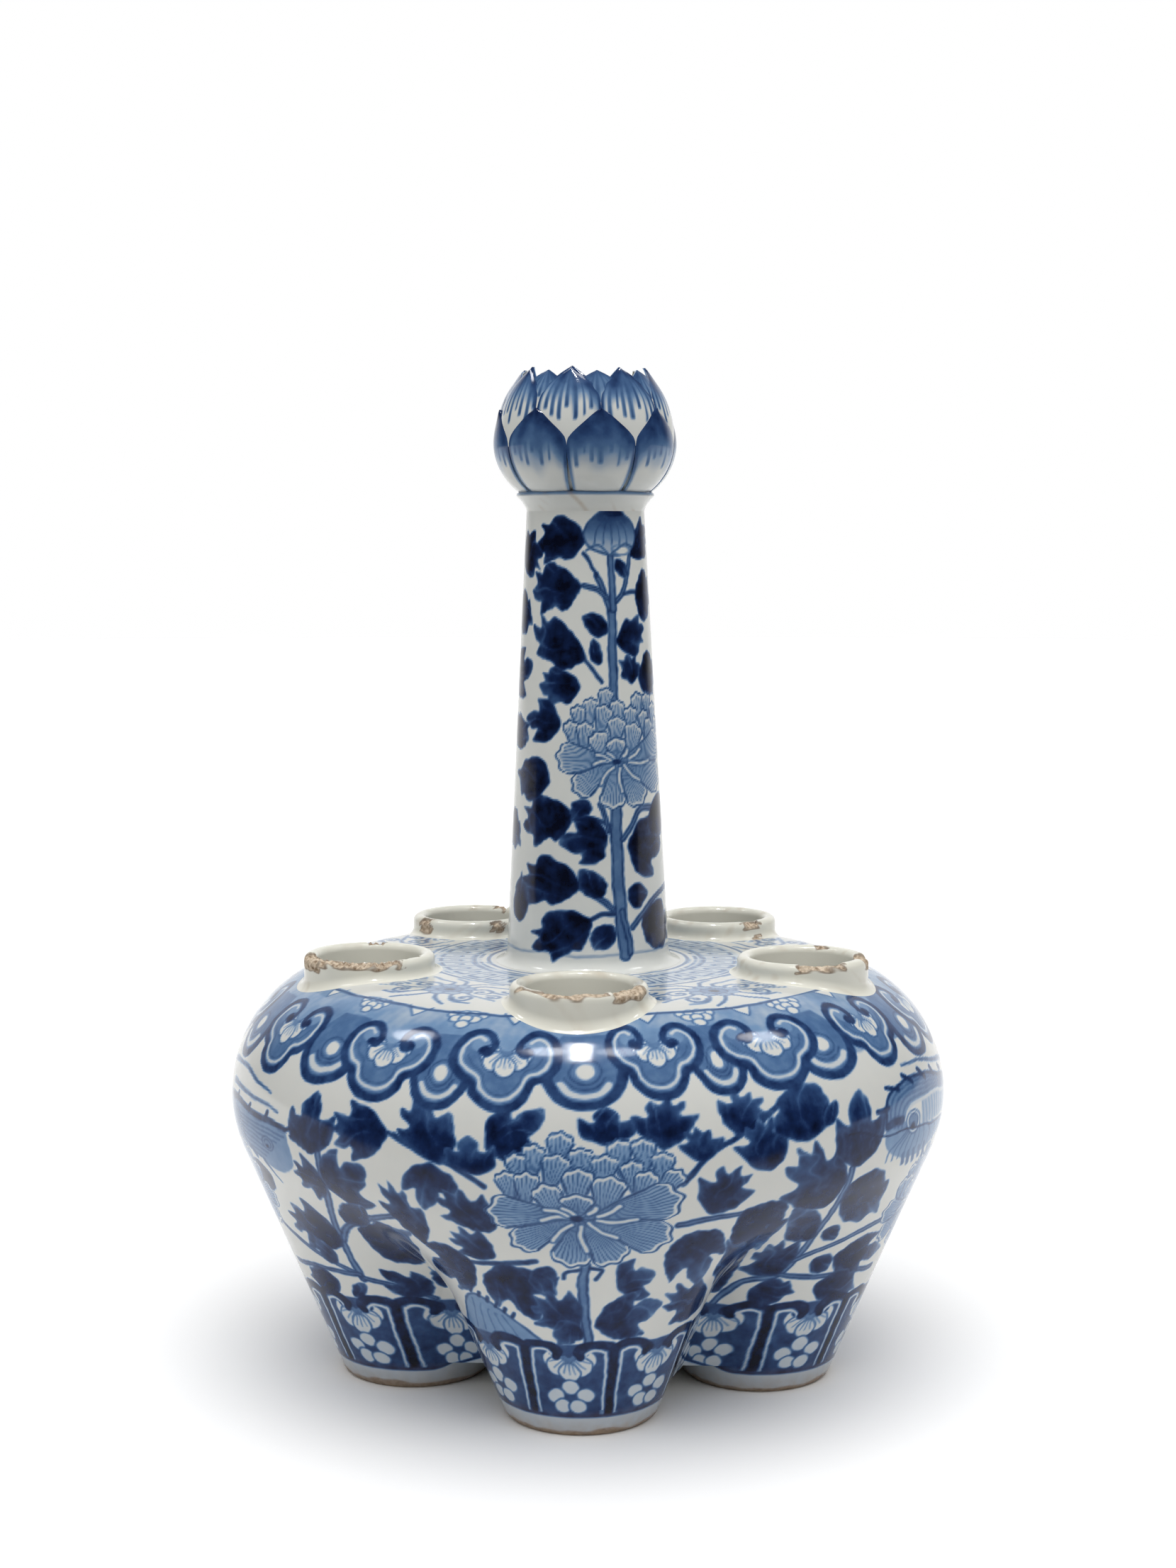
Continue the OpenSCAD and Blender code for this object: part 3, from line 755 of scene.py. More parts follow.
def right_butterfly(canvas):
    wing, inner = np.asarray(RIGHT_WING), np.asarray(RIGHT_INNER)
    if not area(canvas, RIGHT_FAN, WASH + 0.05):
        return
    for a in (53.6, 55.2, 56.8, 58.6, 60.6, 62.8, 65.4, 68.4, 71.8):
        mark(canvas, [(58.5 + (a - 53) * 0.55, 66.5), (a + 0.6, 63.6), (a, 60.8)], 0.4, MID + 0.1)
    for a in (58.6, 60.4, 62.4, 64.6, 67):
        mark(canvas, [(a, 61.2), (a + 0.7, 58.4 + 0.4 * math.sin(a))], 1.3, DEEP - 0.14)
    patch, flat = region(canvas, np.vstack([[(64.4, 66.4)], inner[4:], [(84, 64.6), (72, 65.6)]]))
    patch.fill(flat, PALE + 0.05)
    for a in np.arange(65.4, 84, 1.5):
        mark(canvas, [(a, 66.2), (a, 69), (a, 71.4)], 0.4, WASH + 0.12)
    area(canvas, np.vstack([wing, inner[::-1]]), MID - 0.03)
    for share in (0.2, 0.4, 0.6, 0.8):
        mark(canvas, blend(wing, inner, share), 0.55, MID + 0.14)
    mark(canvas, [(53.2, 69.6), (55, 69.8), (57.4, 69.4)], 1.7, DARK - 0.08)
    mark(canvas, wing, 0.8, DEEP + 0.1)
    mark(canvas, inner[1:], 0.9, WHITE + 0.06)
    eye_spot(canvas, 61.2, 68, 2.9, 2.5)
    for tuft in RIGHT_TUFTS:
        mark(canvas, tuft, 1.1, DARK - 0.06)


def left_butterfly(canvas):
    if not area(canvas, LEFT_WING, MID - 0.05):
        return
    for k in range(8):
        vein = [(-50 - 1.2 * k, 66.8 - 1.2 * k), (-60 - k, 66.6 - 0.9 * k), (-78, 67.6 - 0.8 * k)]
        mark(canvas, vein, 0.45, MID + 0.14)
    mark(canvas, LEFT_WING[:6], 1.5, DARK - 0.04)
    mark(canvas, [(-64, 60.4), (-62, 58.6)], 1.6, DEEP - 0.1)
    eye_spot(canvas, -55.5, 63.2, 1.9, 1.3)
    for tuft in LEFT_TUFTS:
        mark(canvas, tuft, 1.0, DARK)
    for feather in FEATHERS:
        mark(canvas, feather, 1.25, DEEP - 0.08, taper=0.6)


def bud(canvas):
    """A pale striped bud above the border of the front lobe."""
    if not area(canvas, BUD, WASH + 0.06):
        return
    for share in (0.1, 0.28, 0.46, 0.64, 0.82):
        low, high = -21.5 + 13 * share, -20.6 + 9 * share
        mark(canvas, [(low, 25), (high - 0.3, 30), (high, 33.4 - 5 * share)], 0.4, MID + 0.08)
    mark(canvas, BUD[:7], 0.6, DEEP - 0.06)
    for share in np.linspace(0, 1, 6):
        a, h = -19.6 + 8 * share, 35 - 4.4 * share
        mark(canvas, [(a, h), (a + 0.4, h + 1)], 0.9, DARK - 0.1)


def paint_foliage(canvas, flat, groups):
    """Groups of leaves and stems, each turned and mirrored: first all the stems, then all the leaves."""
    for _, stems, turn, mirror in groups:
        for path, width in stems:
            stem(canvas, flat, [(a * mirror + turn, h) for a, h in path], width)
    for leaves, _, turn, mirror in groups:
        for kind, a, h, b, g, width in leaves:
            leaf(canvas, flat, kind, a * mirror + turn, h, b * mirror + turn, g, width)


def paint_garden(canvas):
    """Peony scroll round the body: full peonies on lobes 1, 3 and 4, and leaves over the furrows."""
    groups = [(LOBE_LEAVES, LOBE_STEMS, lobe * LOBE_TURN, mirror) for lobe, mirror in PEONY_LOBES]
    groups += [(LEFT_LEAVES, LEFT_STEMS, 0, 1), (LEFT_LEAVES, LEFT_STEMS, -2 * LOBE_TURN, -1)]
    groups += [(RIGHT_LEAVES, RIGHT_STEMS, 0, 1), (RIGHT_LEAVES, RIGHT_STEMS, 2 * LOBE_TURN, -1)]
    groups += [(BACK_LEAVES, [], 0, 1)]
    paint_foliage(canvas, BODY_FLAT, groups)
    for lobe, mirror in PEONY_LOBES:
        peony(canvas, BODY_FLAT, lobe * LOBE_TURN + 0.5 * mirror, 56.7, 1.0, mirror)
    for place in SIDE_PEONIES:
        peony(canvas, BODY_FLAT, *place)
    right_butterfly(canvas)
    left_butterfly(canvas)
    bud(canvas)
    mark(canvas, CRACK, 0.34, INK)


# Top of the shoulder, in plan

FRET_IN, FRET_OUT = 26.2, 37.4
# A key fret's cell is this many degrees wide and millimetres high, and has six by six steps
FRET_TURN, FRET_RISE, FRET_STEPS = 10, 9.6, 6
# Runs of its hook, across and up: place, from, to
FRET_ACROSS = [(0.5, 0, 5.5), (5.5, 0.5, 4.5), (2.5, 2.5, 4.5)]
FRET_UP = [(0.5, 0.5, 5.5), (4.5, 2.5, 5.5), (2.5, 2.5, 3.8)]
# Swirls to each side of a flower: place, growth and direction, and its tendrils
SWIRLS = [(8.4, 1.6, 0.36, 1), (9.0, -5.6, 0.3, -1), (14.4, 6.2, 0.28, -1), (14.2, -1.6, 0.26, 1)]
TENDRILS = [
    [(3.6, -2), (5, -5.6), (8, -8.6), (12.4, -8.4)], [(3.4, 3), (4.6, 6.8), (9, 8), (13, 9.4)],
    [(5, 0), (8, -2.4), (12, -3.4), (17, -4.6)], [(11, 3), (14, 2.4), (18, 3.4)],
    [(0.6, 6), (3, 9.4), (7, 11)], [(1, -6), (3.4, -9), (7.4, -11.4)],
]
TOP_FLOWER_RING = 51
TOP_FLOWER_REACH = 27


def key_fret(angle, r):
    """Cover of square hooks that turn in on themselves."""
    step = (angle % FRET_TURN) / FRET_TURN * FRET_STEPS
    rise = (r - FRET_IN - 0.8) / FRET_RISE * FRET_STEPS

    def run_gap(off, along, low, high):
        return np.where((along < low) | (along > high), np.inf, np.abs(off))

    runs = [run_gap(rise - at, step, low, high) for at, low, high in FRET_ACROSS]
    runs += [run_gap(step - at, rise, low, high) for at, low, high in FRET_UP]
    return np.clip((0.46 - np.minimum.reduce(runs)) * 3, 0, 1) * (rise > 0) * (rise < FRET_STEPS)


def top_flower(patch):
    """A round flower with scrolls to both sides."""
    turn = np.linspace(0.4, 9, 30)
    for mirror in (-1, 1):
        for x, y, size, flip in SWIRLS:
            swirl = np.stack([x + size * turn * np.cos(turn), y + flip * size * turn * np.sin(turn)], 1)
            patch.line(swirl * (mirror, 1), 0.9, MID + 0.1)
        for path in TENDRILS:
            patch.line(curve(np.asarray(path, float) * (mirror, 1)), 0.95, MID + 0.1, taper=0.3)
    for aim in range(0, 360, 45):
        patch.oval(*polar(4.1, aim), 1.9, 1.7, WASH, edge=DEEP)
    patch.oval(0, 0, 2.9, 2.9, MID, edge=DEEP)
    patch.oval(0, 0, 1.2, 1.2, DARK)


def paint_top(canvas):
    """Rings with a key fret round the neck, and a flower with scrolls between the spouts."""
    r = np.hypot(canvas.x, canvas.y)
    for ring, width in ((39.2, 0.7), (FRET_OUT, 0.5), (FRET_IN, 0.5), (24.2, 0.7)):
        canvas.blend(soft(width / 2 - np.abs(r - ring)), DEEP)
    canvas.tone[:] = np.where((r > FRET_IN) & (r < FRET_OUT), PALE - 0.05, canvas.tone)
    canvas.blend(key_fret(np.degrees(np.arctan2(canvas.x, -canvas.y)), r), MID + 0.14)
    for i in range(LOBES):
        a = 2 * math.pi * (i + 0.5) / LOBES
        x, y = TOP_FLOWER_RING * math.sin(a), -TOP_FLOWER_RING * math.cos(a)
        top_flower(canvas.patch(x, y, TOP_FLOWER_REACH, a))


# Neck

NECK_LEAVES = [
    ("lobed", 5, 110.5, -38, 104.5, 10.5), ("oval", 22, 108.6, 4, 104.2, 5.6),
    ("lobed", -3, 118, -52, 121.3, 11.4), ("oval", 14, 115.4, 0, 122, 5.6),
    ("trefoil", 18, 130, -16, 128, 10.6), ("lobed", -8, 135, -52, 132.5, 11.4),
    ("heart", 3, 138.5, -9, 134.2, 4.4), ("heart", -29, 142, -66, 145.5, 10.8),
    ("heart", -57, 108.5, -54, 120, 6), ("heart", -86, 133, -58, 128, 8.4),
    ("trefoil", 34, 127.5, 74, 126, 13), ("oval", 32, 115, 50.5, 115.6, 5.8),
    ("heart", 47, 110.6, 84, 105, 11), ("heart", 60, 136, 88, 130, 11),
    ("lobed", 1, 199.5, -44, 201, 10.8), ("lobed", -2, 188.3, -50, 188.2, 11),
    ("lobed", 1, 171.5, -48, 178, 10.4), ("lobed", -3, 165.5, -37, 164.6, 8.8),
    ("trefoil", -19, 156, -53, 158, 9), ("oval", 21, 178, -1, 181.2, 5),
    ("oval", 13, 170, 8, 176.3, 3.4), ("oval", 31.5, 195, 42.5, 190.8, 3.8),
    ("lobed", 29, 176, 61, 176.5, 8.6), ("lobed", 44, 165.5, 43, 172.4, 6.4),
    ("heart", 53, 187.5, 84, 185, 12), ("heart", 52, 169, 86, 166, 10), ("lobed", 48, 196, 80, 202, 8.8),
    ("lobed", -82, 196, -44, 197, 10.8), ("heart", -86, 184, -53, 181, 10),
    ("trefoil", -86, 167, -51, 168, 10.8), ("heart", -82, 152, -55, 157, 9),
]
NECK_STEMS = [
    ([(30, 101.6), (27, 112), (25, 125), (25, 140)], 2.9), ([(34, 102), (33, 106), (28, 112)], 1.6),
    ([(22, 111.5), (12, 111.8), (4, 110.6)], 1.0), ([(21, 112.5), (10, 115.4), (-4, 118.4)], 1.3),
    ([(19, 132.5), (6, 134), (-9, 135)], 1.1), ([(30, 129), (40, 133), (48, 136), (62, 136)], 1.4),
    ([(37, 108), (48, 111.5), (62, 115), (86, 116.6)], 1.3), ([(19, 131), (15, 135), (12, 138)], 1.2),
    ([(26, 161), (25.5, 170), (25, 183)], 2.4), ([(24, 183), (15, 189), (11, 191.4)], 1.5),
    ([(12, 191), (5, 194.5), (-1, 196.4)], 0.8), ([(26, 184), (36, 187), (44, 192.5), (49, 198.5)], 1.3),
    ([(21, 185.8), (12, 187.6), (0, 188.6)], 1.3), ([(15, 166.4), (8, 169), (1, 171.6)], 0.9),
    ([(38, 187), (46, 187.6), (54, 187.4)], 0.9), ([(27, 183), (26, 189), (25.5, 196)], 2.0),
]
BUD_HALF = [(0, 206.4), (4.0, 205.6), (7.2, 203.2), (8.4, 200.2), (6.4, 197.4), (2.8, 196.2), (0, 195.8)]
BUD_MIDDLE, BUD_REACH = 201, 11
# Angle of the flowers on the front of the neck, and height and size of the peony
NECK_FLOWER = 27
NECK_PEONY_Z, NECK_PEONY_SIZE = 147.5, 0.92


def lotus_bud(canvas, angle):
    """A closed flower bud with a striped dome and curling sepals."""
    patch = canvas.motif(angle * NECK_FLAT, 0, BUD_MIDDLE, BUD_REACH)
    half = np.asarray(BUD_HALF)
    outline = curve(np.vstack([half, half[-2:0:-1] * (-1, 1)]), closed=True)
    some = patch.inside_box(outline, 1)
    gap = outline_distance(patch.x[some], patch.y[some], outline)
    patch.lay(some, soft(-gap), blend(PALE, DEEP + 0.06, ease((patch.y[some] - 197) / 9)))
    for x in (-4.4, -2.2, 0, 2.2, 4.4):
        patch.line(curve([(x * 1.2, 198.4), (x, 202), (x * 0.3, 205.5)]), 0.35, DEEP, taper=0.4)
    patch.line(np.vstack([outline, outline[:1]]), 0.5, DEEP)
    patch.oval(1.0, 205.8, 3.0, 0.9, DARK)
    patch.oval(3.2, 197.2, 2.6, 0.9, WHITE, edge=MID)
    for sepal in ([(-7.6, 197), (-4, 198), (-0.6, 195.6)], [(0, 196.2), (4, 198.6), (7, 198.2)]):
        patch.line(curve(sepal), 0.5, DEEP - 0.08)


def paint_neck(canvas):
    for turn in (0, 180):
        paint_foliage(canvas, NECK_FLAT, [(NECK_LEAVES, NECK_STEMS, turn, 1)])
        peony(canvas, NECK_FLAT, NECK_FLOWER + turn, NECK_PEONY_Z, NECK_PEONY_SIZE)
        lotus_bud(canvas, NECK_FLOWER + turn)
    base_line = np.clip(0.5 + (0.25 - np.abs(canvas.y - SHOULDER_Z - 4.2)) / 0.6, 0, 1)
    canvas.tone[:] = np.maximum(canvas.tone, WASH * base_line * (canvas.tone < PALE))


# Meshes


def link(thing):
    bpy.context.scene.collection.objects.link(thing)


class Sheet:
    """Points and faces of a piece, gathered from grids, with a place in the texture for each corner."""

    def __init__(self):
        self.points, self.faces, self.places, self.count = [], [], [], 0

    def add(self, points):
        flat = np.asarray(points, float).reshape(-1, 3)
        first = self.count
        self.points.append(flat)
        self.count += len(flat)
        return first + np.arange(len(flat)).reshape(np.shape(points)[:-1])

    def grid(self, index, u, v, keep=None):
        """Four-sided faces between rows and columns of points."""
        place = np.stack(np.meshgrid(u, v), -1)
        faces, places = (
            np.stack([a[:-1, :-1], a[:-1, 1:], a[1:, 1:], a[1:, :-1]], 2) for a in (index, place)
        )
        if keep is None:
            keep = np.ones(faces.shape[:2], bool)
        self.faces += faces[keep].tolist()
        self.places.append(places[keep].reshape(-1, 2))

    def ring(self, points, v=None, flip=False):
        """A closed skin of rows of points round an axis, where the last row joins the first."""
        index = self.add(points)
        index = wrap_grid(index[::-1] if flip else index)
        index = np.concatenate([index, index[:1]])
        if v is None:
            v = np.linspace(0, 0.97, len(index))
        self.grid(index, np.linspace(0, 1, index.shape[1]), v)

    def face(self, index):
        """A hidden face, which needs little room in the texture."""
        self.faces.append([int(i) for i in index])
        turn = np.linspace(0, 2 * math.pi, len(index), endpoint=False)
        self.places.append(0.99 + 0.004 * np.stack([np.cos(turn), np.sin(turn)], 1))

    def drop_loose(self):
        """Takes out the points that no face uses, and tells which ones stay."""
        used = np.zeros(self.count, bool)
        for face in self.faces:
            used[face] = True
        number = np.cumsum(used) - 1
        self.points = [np.concatenate(self.points)[used]]
        self.faces = [number[face].tolist() for face in self.faces]
        return used


def wrap_grid(index):
    """Joins the last column of a grid to its first."""
    return np.concatenate([index, index[:, :1]], 1)


def full_turn(columns):
    """Angles all round the vase, from the back by the front."""
    return np.linspace(-180, 180, columns, endpoint=False)


def flat_grid(columns, rows):
    """Both coordinates of all the points of a grid, row by row."""
    return [values.ravel() for values in np.meshgrid(columns, rows)]


def to_lobe(points, i):
    """Turns points made at the front to lobe i."""
    a = math.radians((i - 1) * LOBE_TURN)
    spin = np.array([[math.cos(a), -math.sin(a)], [math.sin(a), math.cos(a)]])
    points[..., :2] = points[..., :2] @ spin.T
    return points


def make_piece(name, sheet, slot, material, sharp=40, nodes=None, **attributes):
    """Turns a sheet into an object that stands for the node of the same name, or for the nodes given."""
    points = np.concatenate(sheet.points)
    sizes = np.array([len(face) for face in sheet.faces])
    loops = np.concatenate([np.asarray(face) for face in sheet.faces])
    mesh = bpy.data.meshes.new(name)
    mesh.vertices.add(len(points))
    mesh.vertices.foreach_set("co", (points / 1000).ravel())
    mesh.loops.add(len(loops))
    mesh.loops.foreach_set("vertex_index", loops)
    mesh.polygons.add(len(sizes))
    mesh.polygons.foreach_set("loop_start", np.concatenate([[0], np.cumsum(sizes)[:-1]]))
    mesh.update(calc_edges=True)
    places = mesh.uv_layers.new(name="OFBake")
    places.data.foreach_set("uv", np.concatenate(sheet.places).ravel())
    for key, values in attributes.items():
        layer = mesh.attributes.new(key, "FLOAT", "POINT")
        layer.data.foreach_set("value", np.asarray(values, np.float32))
    mesh.polygons.foreach_set("use_smooth", np.ones(len(sizes), bool))
    mesh.set_sharp_from_angle(angle=math.radians(sharp))
    mesh.materials.append(material)
    piece = bpy.data.objects.new("vase_" + name, mesh)
    link(piece)
    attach(piece, "root")
    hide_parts(*(nodes or [name]))


# Materials

BODY_TINT = (0.675, 0.66, 0.6)
# The neck and the lotus get a paler copy of the body's glaze: painted light, as they stand more brightly
# lit
UPPER_TINT_WITH_PAINTED_LIGHT = (0.775, 0.77, 0.705)
# The spouts' glaze is creamier than the body's, and paler as painted light for the bright reflections on
# them
PLAIN_TINT_WITH_PAINTED_LIGHT = (0.735, 0.725, 0.64)
COBALT = [
    (0.12, (0.44, 0.50, 0.56)), (0.3, (0.165, 0.275, 0.44)), (0.48, (0.073, 0.148, 0.295)),
    (0.66, (0.028, 0.068, 0.178)), (0.84, (0.006, 0.018, 0.072)), (1.0, (0.0015, 0.003, 0.013)),
]
# Brown of real stains, and also of painted shade at the feet
STAIN_AND_SHADE_BROWN = (0.34, 0.21, 0.09, 1)
SPECK = (0.05, 0.04, 0.04, 1)
CLAY_DARK = (0.20, 0.13, 0.075, 1)
CLAY_PALE = (0.66, 0.55, 0.42, 1)
CHIP_EDGE = (0.15, 0.09, 0.05, 1)
GLAZE_IOR = 1.33
GLAZE_ROUGH, CLAY_ROUGHER = 0.11, 0.7


class Nodes:
    """Short ways to add the nodes of a material or a world."""

    def __init__(self, owner):
        owner.use_nodes = True
        self.tree = owner.node_tree

    def add(self, kind, inputs, **settings):
        node = self.tree.nodes.new(kind)
        for key, value in settings.items():
            setattr(node, key, value)
        self.plug(node, inputs)
        return node

    def plug(self, node, inputs):
        """Links or sets the inputs of a node, by their names or numbers."""
        for key, value in inputs.items():
            if isinstance(value, bpy.types.NodeSocket):
                self.tree.links.new(value, node.inputs[key])
            else:
                node.inputs[key].default_value = value

    def math(self, operation, *values, clamp=False):
        inputs = dict(enumerate(values))
        return self.add("ShaderNodeMath", inputs, operation=operation, use_clamp=clamp).outputs[0]

    def place(self, kind="Object"):
        return self.add("ShaderNodeTexCoord", {}).outputs[kind]

    def attribute(self, key):
        return self.add("ShaderNodeAttribute", {}, attribute_name=key).outputs["Fac"]

    def noise(self, scale, detail):
        inputs = {"Vector": self.place(), "Scale": scale, "Detail": detail}
        return self.add("ShaderNodeTexNoise", inputs).outputs["Fac"]

    def mix(self, share, a, b):
        return self.add("ShaderNodeMix", {0: share, 6: a, 7: b}, data_type="RGBA").outputs[2]

    def fade(self, value, low, high, start, stop):
        inputs = {"Value": value, "From Min": low, "From Max": high, "To Min": start, "To Max": stop}
        node = self.add("ShaderNodeMapRange", inputs, interpolation_type="SMOOTHSTEP")
        return node.outputs["Result"]


def cobalt_colour(kit, tint):
    """Cobalt on the tint of the bare glaze. The brush leaves more of it in some places than in others."""
    wash = kit.math("MULTIPLY_ADD", kit.noise(330, 4), 0.5, 0.75)
    tone = kit.math("MULTIPLY", kit.attribute("cobalt"), wash, clamp=True)
    ramp = kit.add("ShaderNodeValToRGB", {"Fac": tone})
    stops = [(0.0, tint), *COBALT]
    while len(ramp.color_ramp.elements) < len(stops):
        ramp.color_ramp.elements.new(0.5)
    for element, (position, colour) in zip(ramp.color_ramp.elements, stops):
        element.position = position
        element.color = (*colour, 1)
    return ramp.outputs["Color"]


def with_stains(kit, colour):
    """Brown where the points ask for it: real stains, and on the feet also painted shade near the table. A
    few dark specks too.
    """
    stain = kit.math("MULTIPLY", kit.attribute("stain"), kit.noise(420, 5))
    cells = kit.add("ShaderNodeTexVoronoi", {"Vector": kit.place(), "Scale": 210})
    rare = kit.math("GREATER_THAN", cells.outputs["Color"], 0.965)
    small = kit.math("LESS_THAN", cells.outputs["Distance"], 0.085)
    speck = kit.math("MULTIPLY", kit.math("MULTIPLY", rare, small), 0.8)
    return kit.mix(speck, kit.mix(stain, colour, STAIN_AND_SHADE_BROWN), SPECK)


def with_clay(kit, colour, bare):
    """Bare clay where the glaze is chipped off or wiped away, with a dark edge."""
    grain = kit.math("MULTIPLY_ADD", kit.noise(900, 6), 3.2, -1.0, clamp=True)
    colour = kit.mix(bare, colour, kit.mix(grain, CLAY_DARK, CLAY_PALE))
    edge = kit.math("MULTIPLY", kit.math("MULTIPLY", bare, kit.math("SUBTRACT", 1.0, bare)), 2.6)
    return kit.mix(edge, colour, CHIP_EDGE)


def glaze(name, tint):
    """Porcelain: cobalt under a clear glaze, with bare clay, brown stains and, on the feet, brown painted
    shade where the points say so.
    """
    material = bpy.data.materials.new(name)
    kit = Nodes(material)
    bare = kit.math("MULTIPLY", kit.attribute("bare"), 1.0, clamp=True)
    bump = kit.add("ShaderNodeBump", {"Strength": 0.05, "Distance": 0.001, "Height": kit.noise(160, 2)})
    kit.plug(kit.tree.nodes["Principled BSDF"], {
        "Base Color": with_clay(kit, with_stains(kit, cobalt_colour(kit, tint)), bare),
        "Roughness": kit.math("MULTIPLY_ADD", bare, CLAY_ROUGHER, GLAZE_ROUGH),
        "IOR": GLAZE_IOR,
        "Normal": bump.outputs["Normal"],
    })
    return material


painted = glaze("painted_glaze", BODY_TINT)
# Paler glaze for the neck and the lotus: painted light
lit_upper_glaze = glaze("upper_glaze_painted_light", UPPER_TINT_WITH_PAINTED_LIGHT)
# Creamier glaze for the spouts and the base, made paler as painted light
plain_with_painted_light = glaze("plain_glaze", PLAIN_TINT_WITH_PAINTED_LIGHT)
foot_clay = glaze("foot_glaze", BODY_TINT)


# Lobes

LOBE_COLUMNS, LOBE_ROWS, LOBE_INNER = 320, 220, 11
# Angles of the border's bars
FRONT_BARS = [-28, -10, 7, 25]
OTHER_BARS = [-25, -9, 9, 25]


def paint_lobe_border(angle, z, tone, lobe):
    """The border on one lobe, whose upright lines close in towards the foot."""
    local = (angle - lobe * LOBE_TURN + 180) % 360 - 180
    bars = FRONT_BARS if lobe == 0 else OTHER_BARS
    canvas = Canvas(local * BODY_FLAT / (0.85 + 0.15 * z / PANEL_TOP), z, tone)
    paint_border(canvas, [a * BODY_FLAT for a in bars])


def painted_shade_near_foot(tone, z):
    """Painted shade: the tone grows darker towards the foot, standing in for the shade near the table."""
    return tone + 0.075 * ease((PANEL_TOP + 2 - z) / 16)


def paint_lower_body(angle, r, z, lobe):
    tone = np.full(angle.size, WHITE)
    paint_garden(Canvas(angle * BODY_FLAT, z, tone, BODY_ROUND))
    low = z < PANEL_TOP + 2
    angle, r, z, part = angle[low], r[low], z[low], tone[low]
    paint_lobe_border(angle, z, part, lobe)
    off = np.radians(angle - lobe * LOBE_TURN)
    turn = np.degrees(np.arctan2(r * np.sin(off), r * np.cos(off) - FOOT_RING))
    # Painted shade: the tone darkens towards the foot
    tone[low] = painted_shade_near_foot(leave_arch_white(part, turn, z), z)
    return tone


def make_lobe(i):
    lobe = i - 1
    phi = np.linspace(-LOBE_HALF, LOBE_HALF, LOBE_COLUMNS + 1)
    outer_z = np.linspace(ARCH_Z, SEAM_Z, LOBE_ROWS + 1)
    inner_z = np.linspace(SEAM_Z, FLOOR_Z, LOBE_INNER + 1)
    angle = np.degrees(phi) + lobe * LOBE_TURN
    outer = around(body_at(phi, outer_z[:, None]), angle, outer_z[:, None])
    inner = around(body_at(phi, inner_z[:, None], WALL), angle, inner_z[:, None])
    sheet = Sheet()
    out_index, in_index = sheet.add(outer), sheet.add(inner)
    skin = np.concatenate([out_index, in_index, out_index[:1]])
    outer_v, inner_v = np.linspace(0, 0.84, LOBE_ROWS + 1), np.linspace(0.85, 0.96, LOBE_INNER + 1)
    sheet.grid(skin, np.linspace(0, 1, LOBE_COLUMNS + 1), np.concatenate([outer_v, inner_v, [0.97]]))
    # The two flanks, closed between matching stretches of the outer and the inner wall
    share = LOBE_ROWS // LOBE_INNER
    for column, order in ((0, 1), (-1, -1)):
        for j in range(LOBE_INNER):
            out = out_index[j * share:(j + 1) * share + 1, column]
            low, high = in_index[LOBE_INNER - j, column], in_index[LOBE_INNER - j - 1, column]
            sheet.face(np.concatenate([out, [high, low]])[::order])
    flat_angle, flat_z = flat_grid(angle, outer_z)
    flat_r = np.hypot(outer[..., 0], outer[..., 1]).ravel()
    tone = np.zeros(sheet.count)
    tone[out_index.ravel()] = paint_lower_body(flat_angle, flat_r, flat_z, lobe)
    make_piece(f"lobe_{i}", sheet, "painted_glaze", painted, cobalt=tone)


# Feet

FOOT_COLUMNS = 240
RECESS_Z = 2.6
HUB_R = 1.5


def foot_profile():
    """Outer edge and side of a foot, and then its top and the recess under it."""
    slope = 1 / math.tan(SIDE_ANGLE)
    top_r = reach(np.array(ARCH_Z)) - FOOT_RING
    hidden_z = ARCH_Z + 0.4
    outside = [(FOOT_R - 1.2, 0.0), (FOOT_R - 0.5, 0.12), (FOOT_R - 0.1, 0.45)]
    outside += [(FOOT_R + z * slope, z) for z in np.linspace(1.0, ARCH_Z, 22)]
    inside = [(top_r - 1, hidden_z), (HUB_R, hidden_z), (HUB_R, RECESS_Z), (FOOT_R - 5, RECESS_Z)]
    inside += [(FOOT_R - 4.2, 2.0), (FOOT_R - 3.6, 0.2), (FOOT_R - 3, 0)]
    return outside, inside


def make_foot(i):
    outside, inside = foot_profile()
    profile = np.array(outside + inside)
    turn = np.linspace(0, 360, FOOT_COLUMNS, endpoint=False)
    points = around(profile[:, :1], turn, profile[:, 1:])
    points[..., 1] -= FOOT_RING
    points = to_lobe(points, i)
    sheet = Sheet()
    sheet.ring(points)
    x, y, z = points.reshape(-1, 3).T
    angle = np.degrees(np.arctan2(x, -y))
    tone = np.full(angle.size, WHITE)
    paint_lobe_border(angle, z, tone, i - 1)
    tone = leave_arch_white(tone, np.tile((turn + 180) % 360 - 180, len(profile)), z)
    shown = np.repeat(np.arange(len(profile)) < len(outside), FOOT_COLUMNS)
    # Painted shade: the foot's tone darkens towards the table, and a little more over its lowest 9 mm
    tone = painted_shade_near_foot(np.where(shown, tone, WHITE), z) + 0.03 * ease((9 - z) / 9)
    worn = 1.35 + 0.5 * waves(x / 9, y / 9, 21)
    bare = 0.55 * np.clip(0.5 + (worn - z) / 0.6, 0, 1)
    # Brown at the very foot is the stain of the bare rim; the fainter brown over the lowest 8 mm is
    # painted shade near the table
    stain = 1.6 * np.exp(-z / 0.7) + 0.6 * ease((8 - z) / 8)
    make_piece(f"foot_{i}", sheet, "foot_rim", foot_clay, cobalt=tone, bare=bare, stain=stain)


# Shoulder: the outer wall has a fine grid, and the inner wall one point for each block of it

SHOULDER_COLUMNS, BLOCK = 1200, 4
SOCKET_S = ROLL_ARC + ROLL_X - NECK_BASE_R - 1
FINE_STEP, FINE_END, REST_ROWS = 0.4, 42.0, 61
BAND_TOP = 40.4


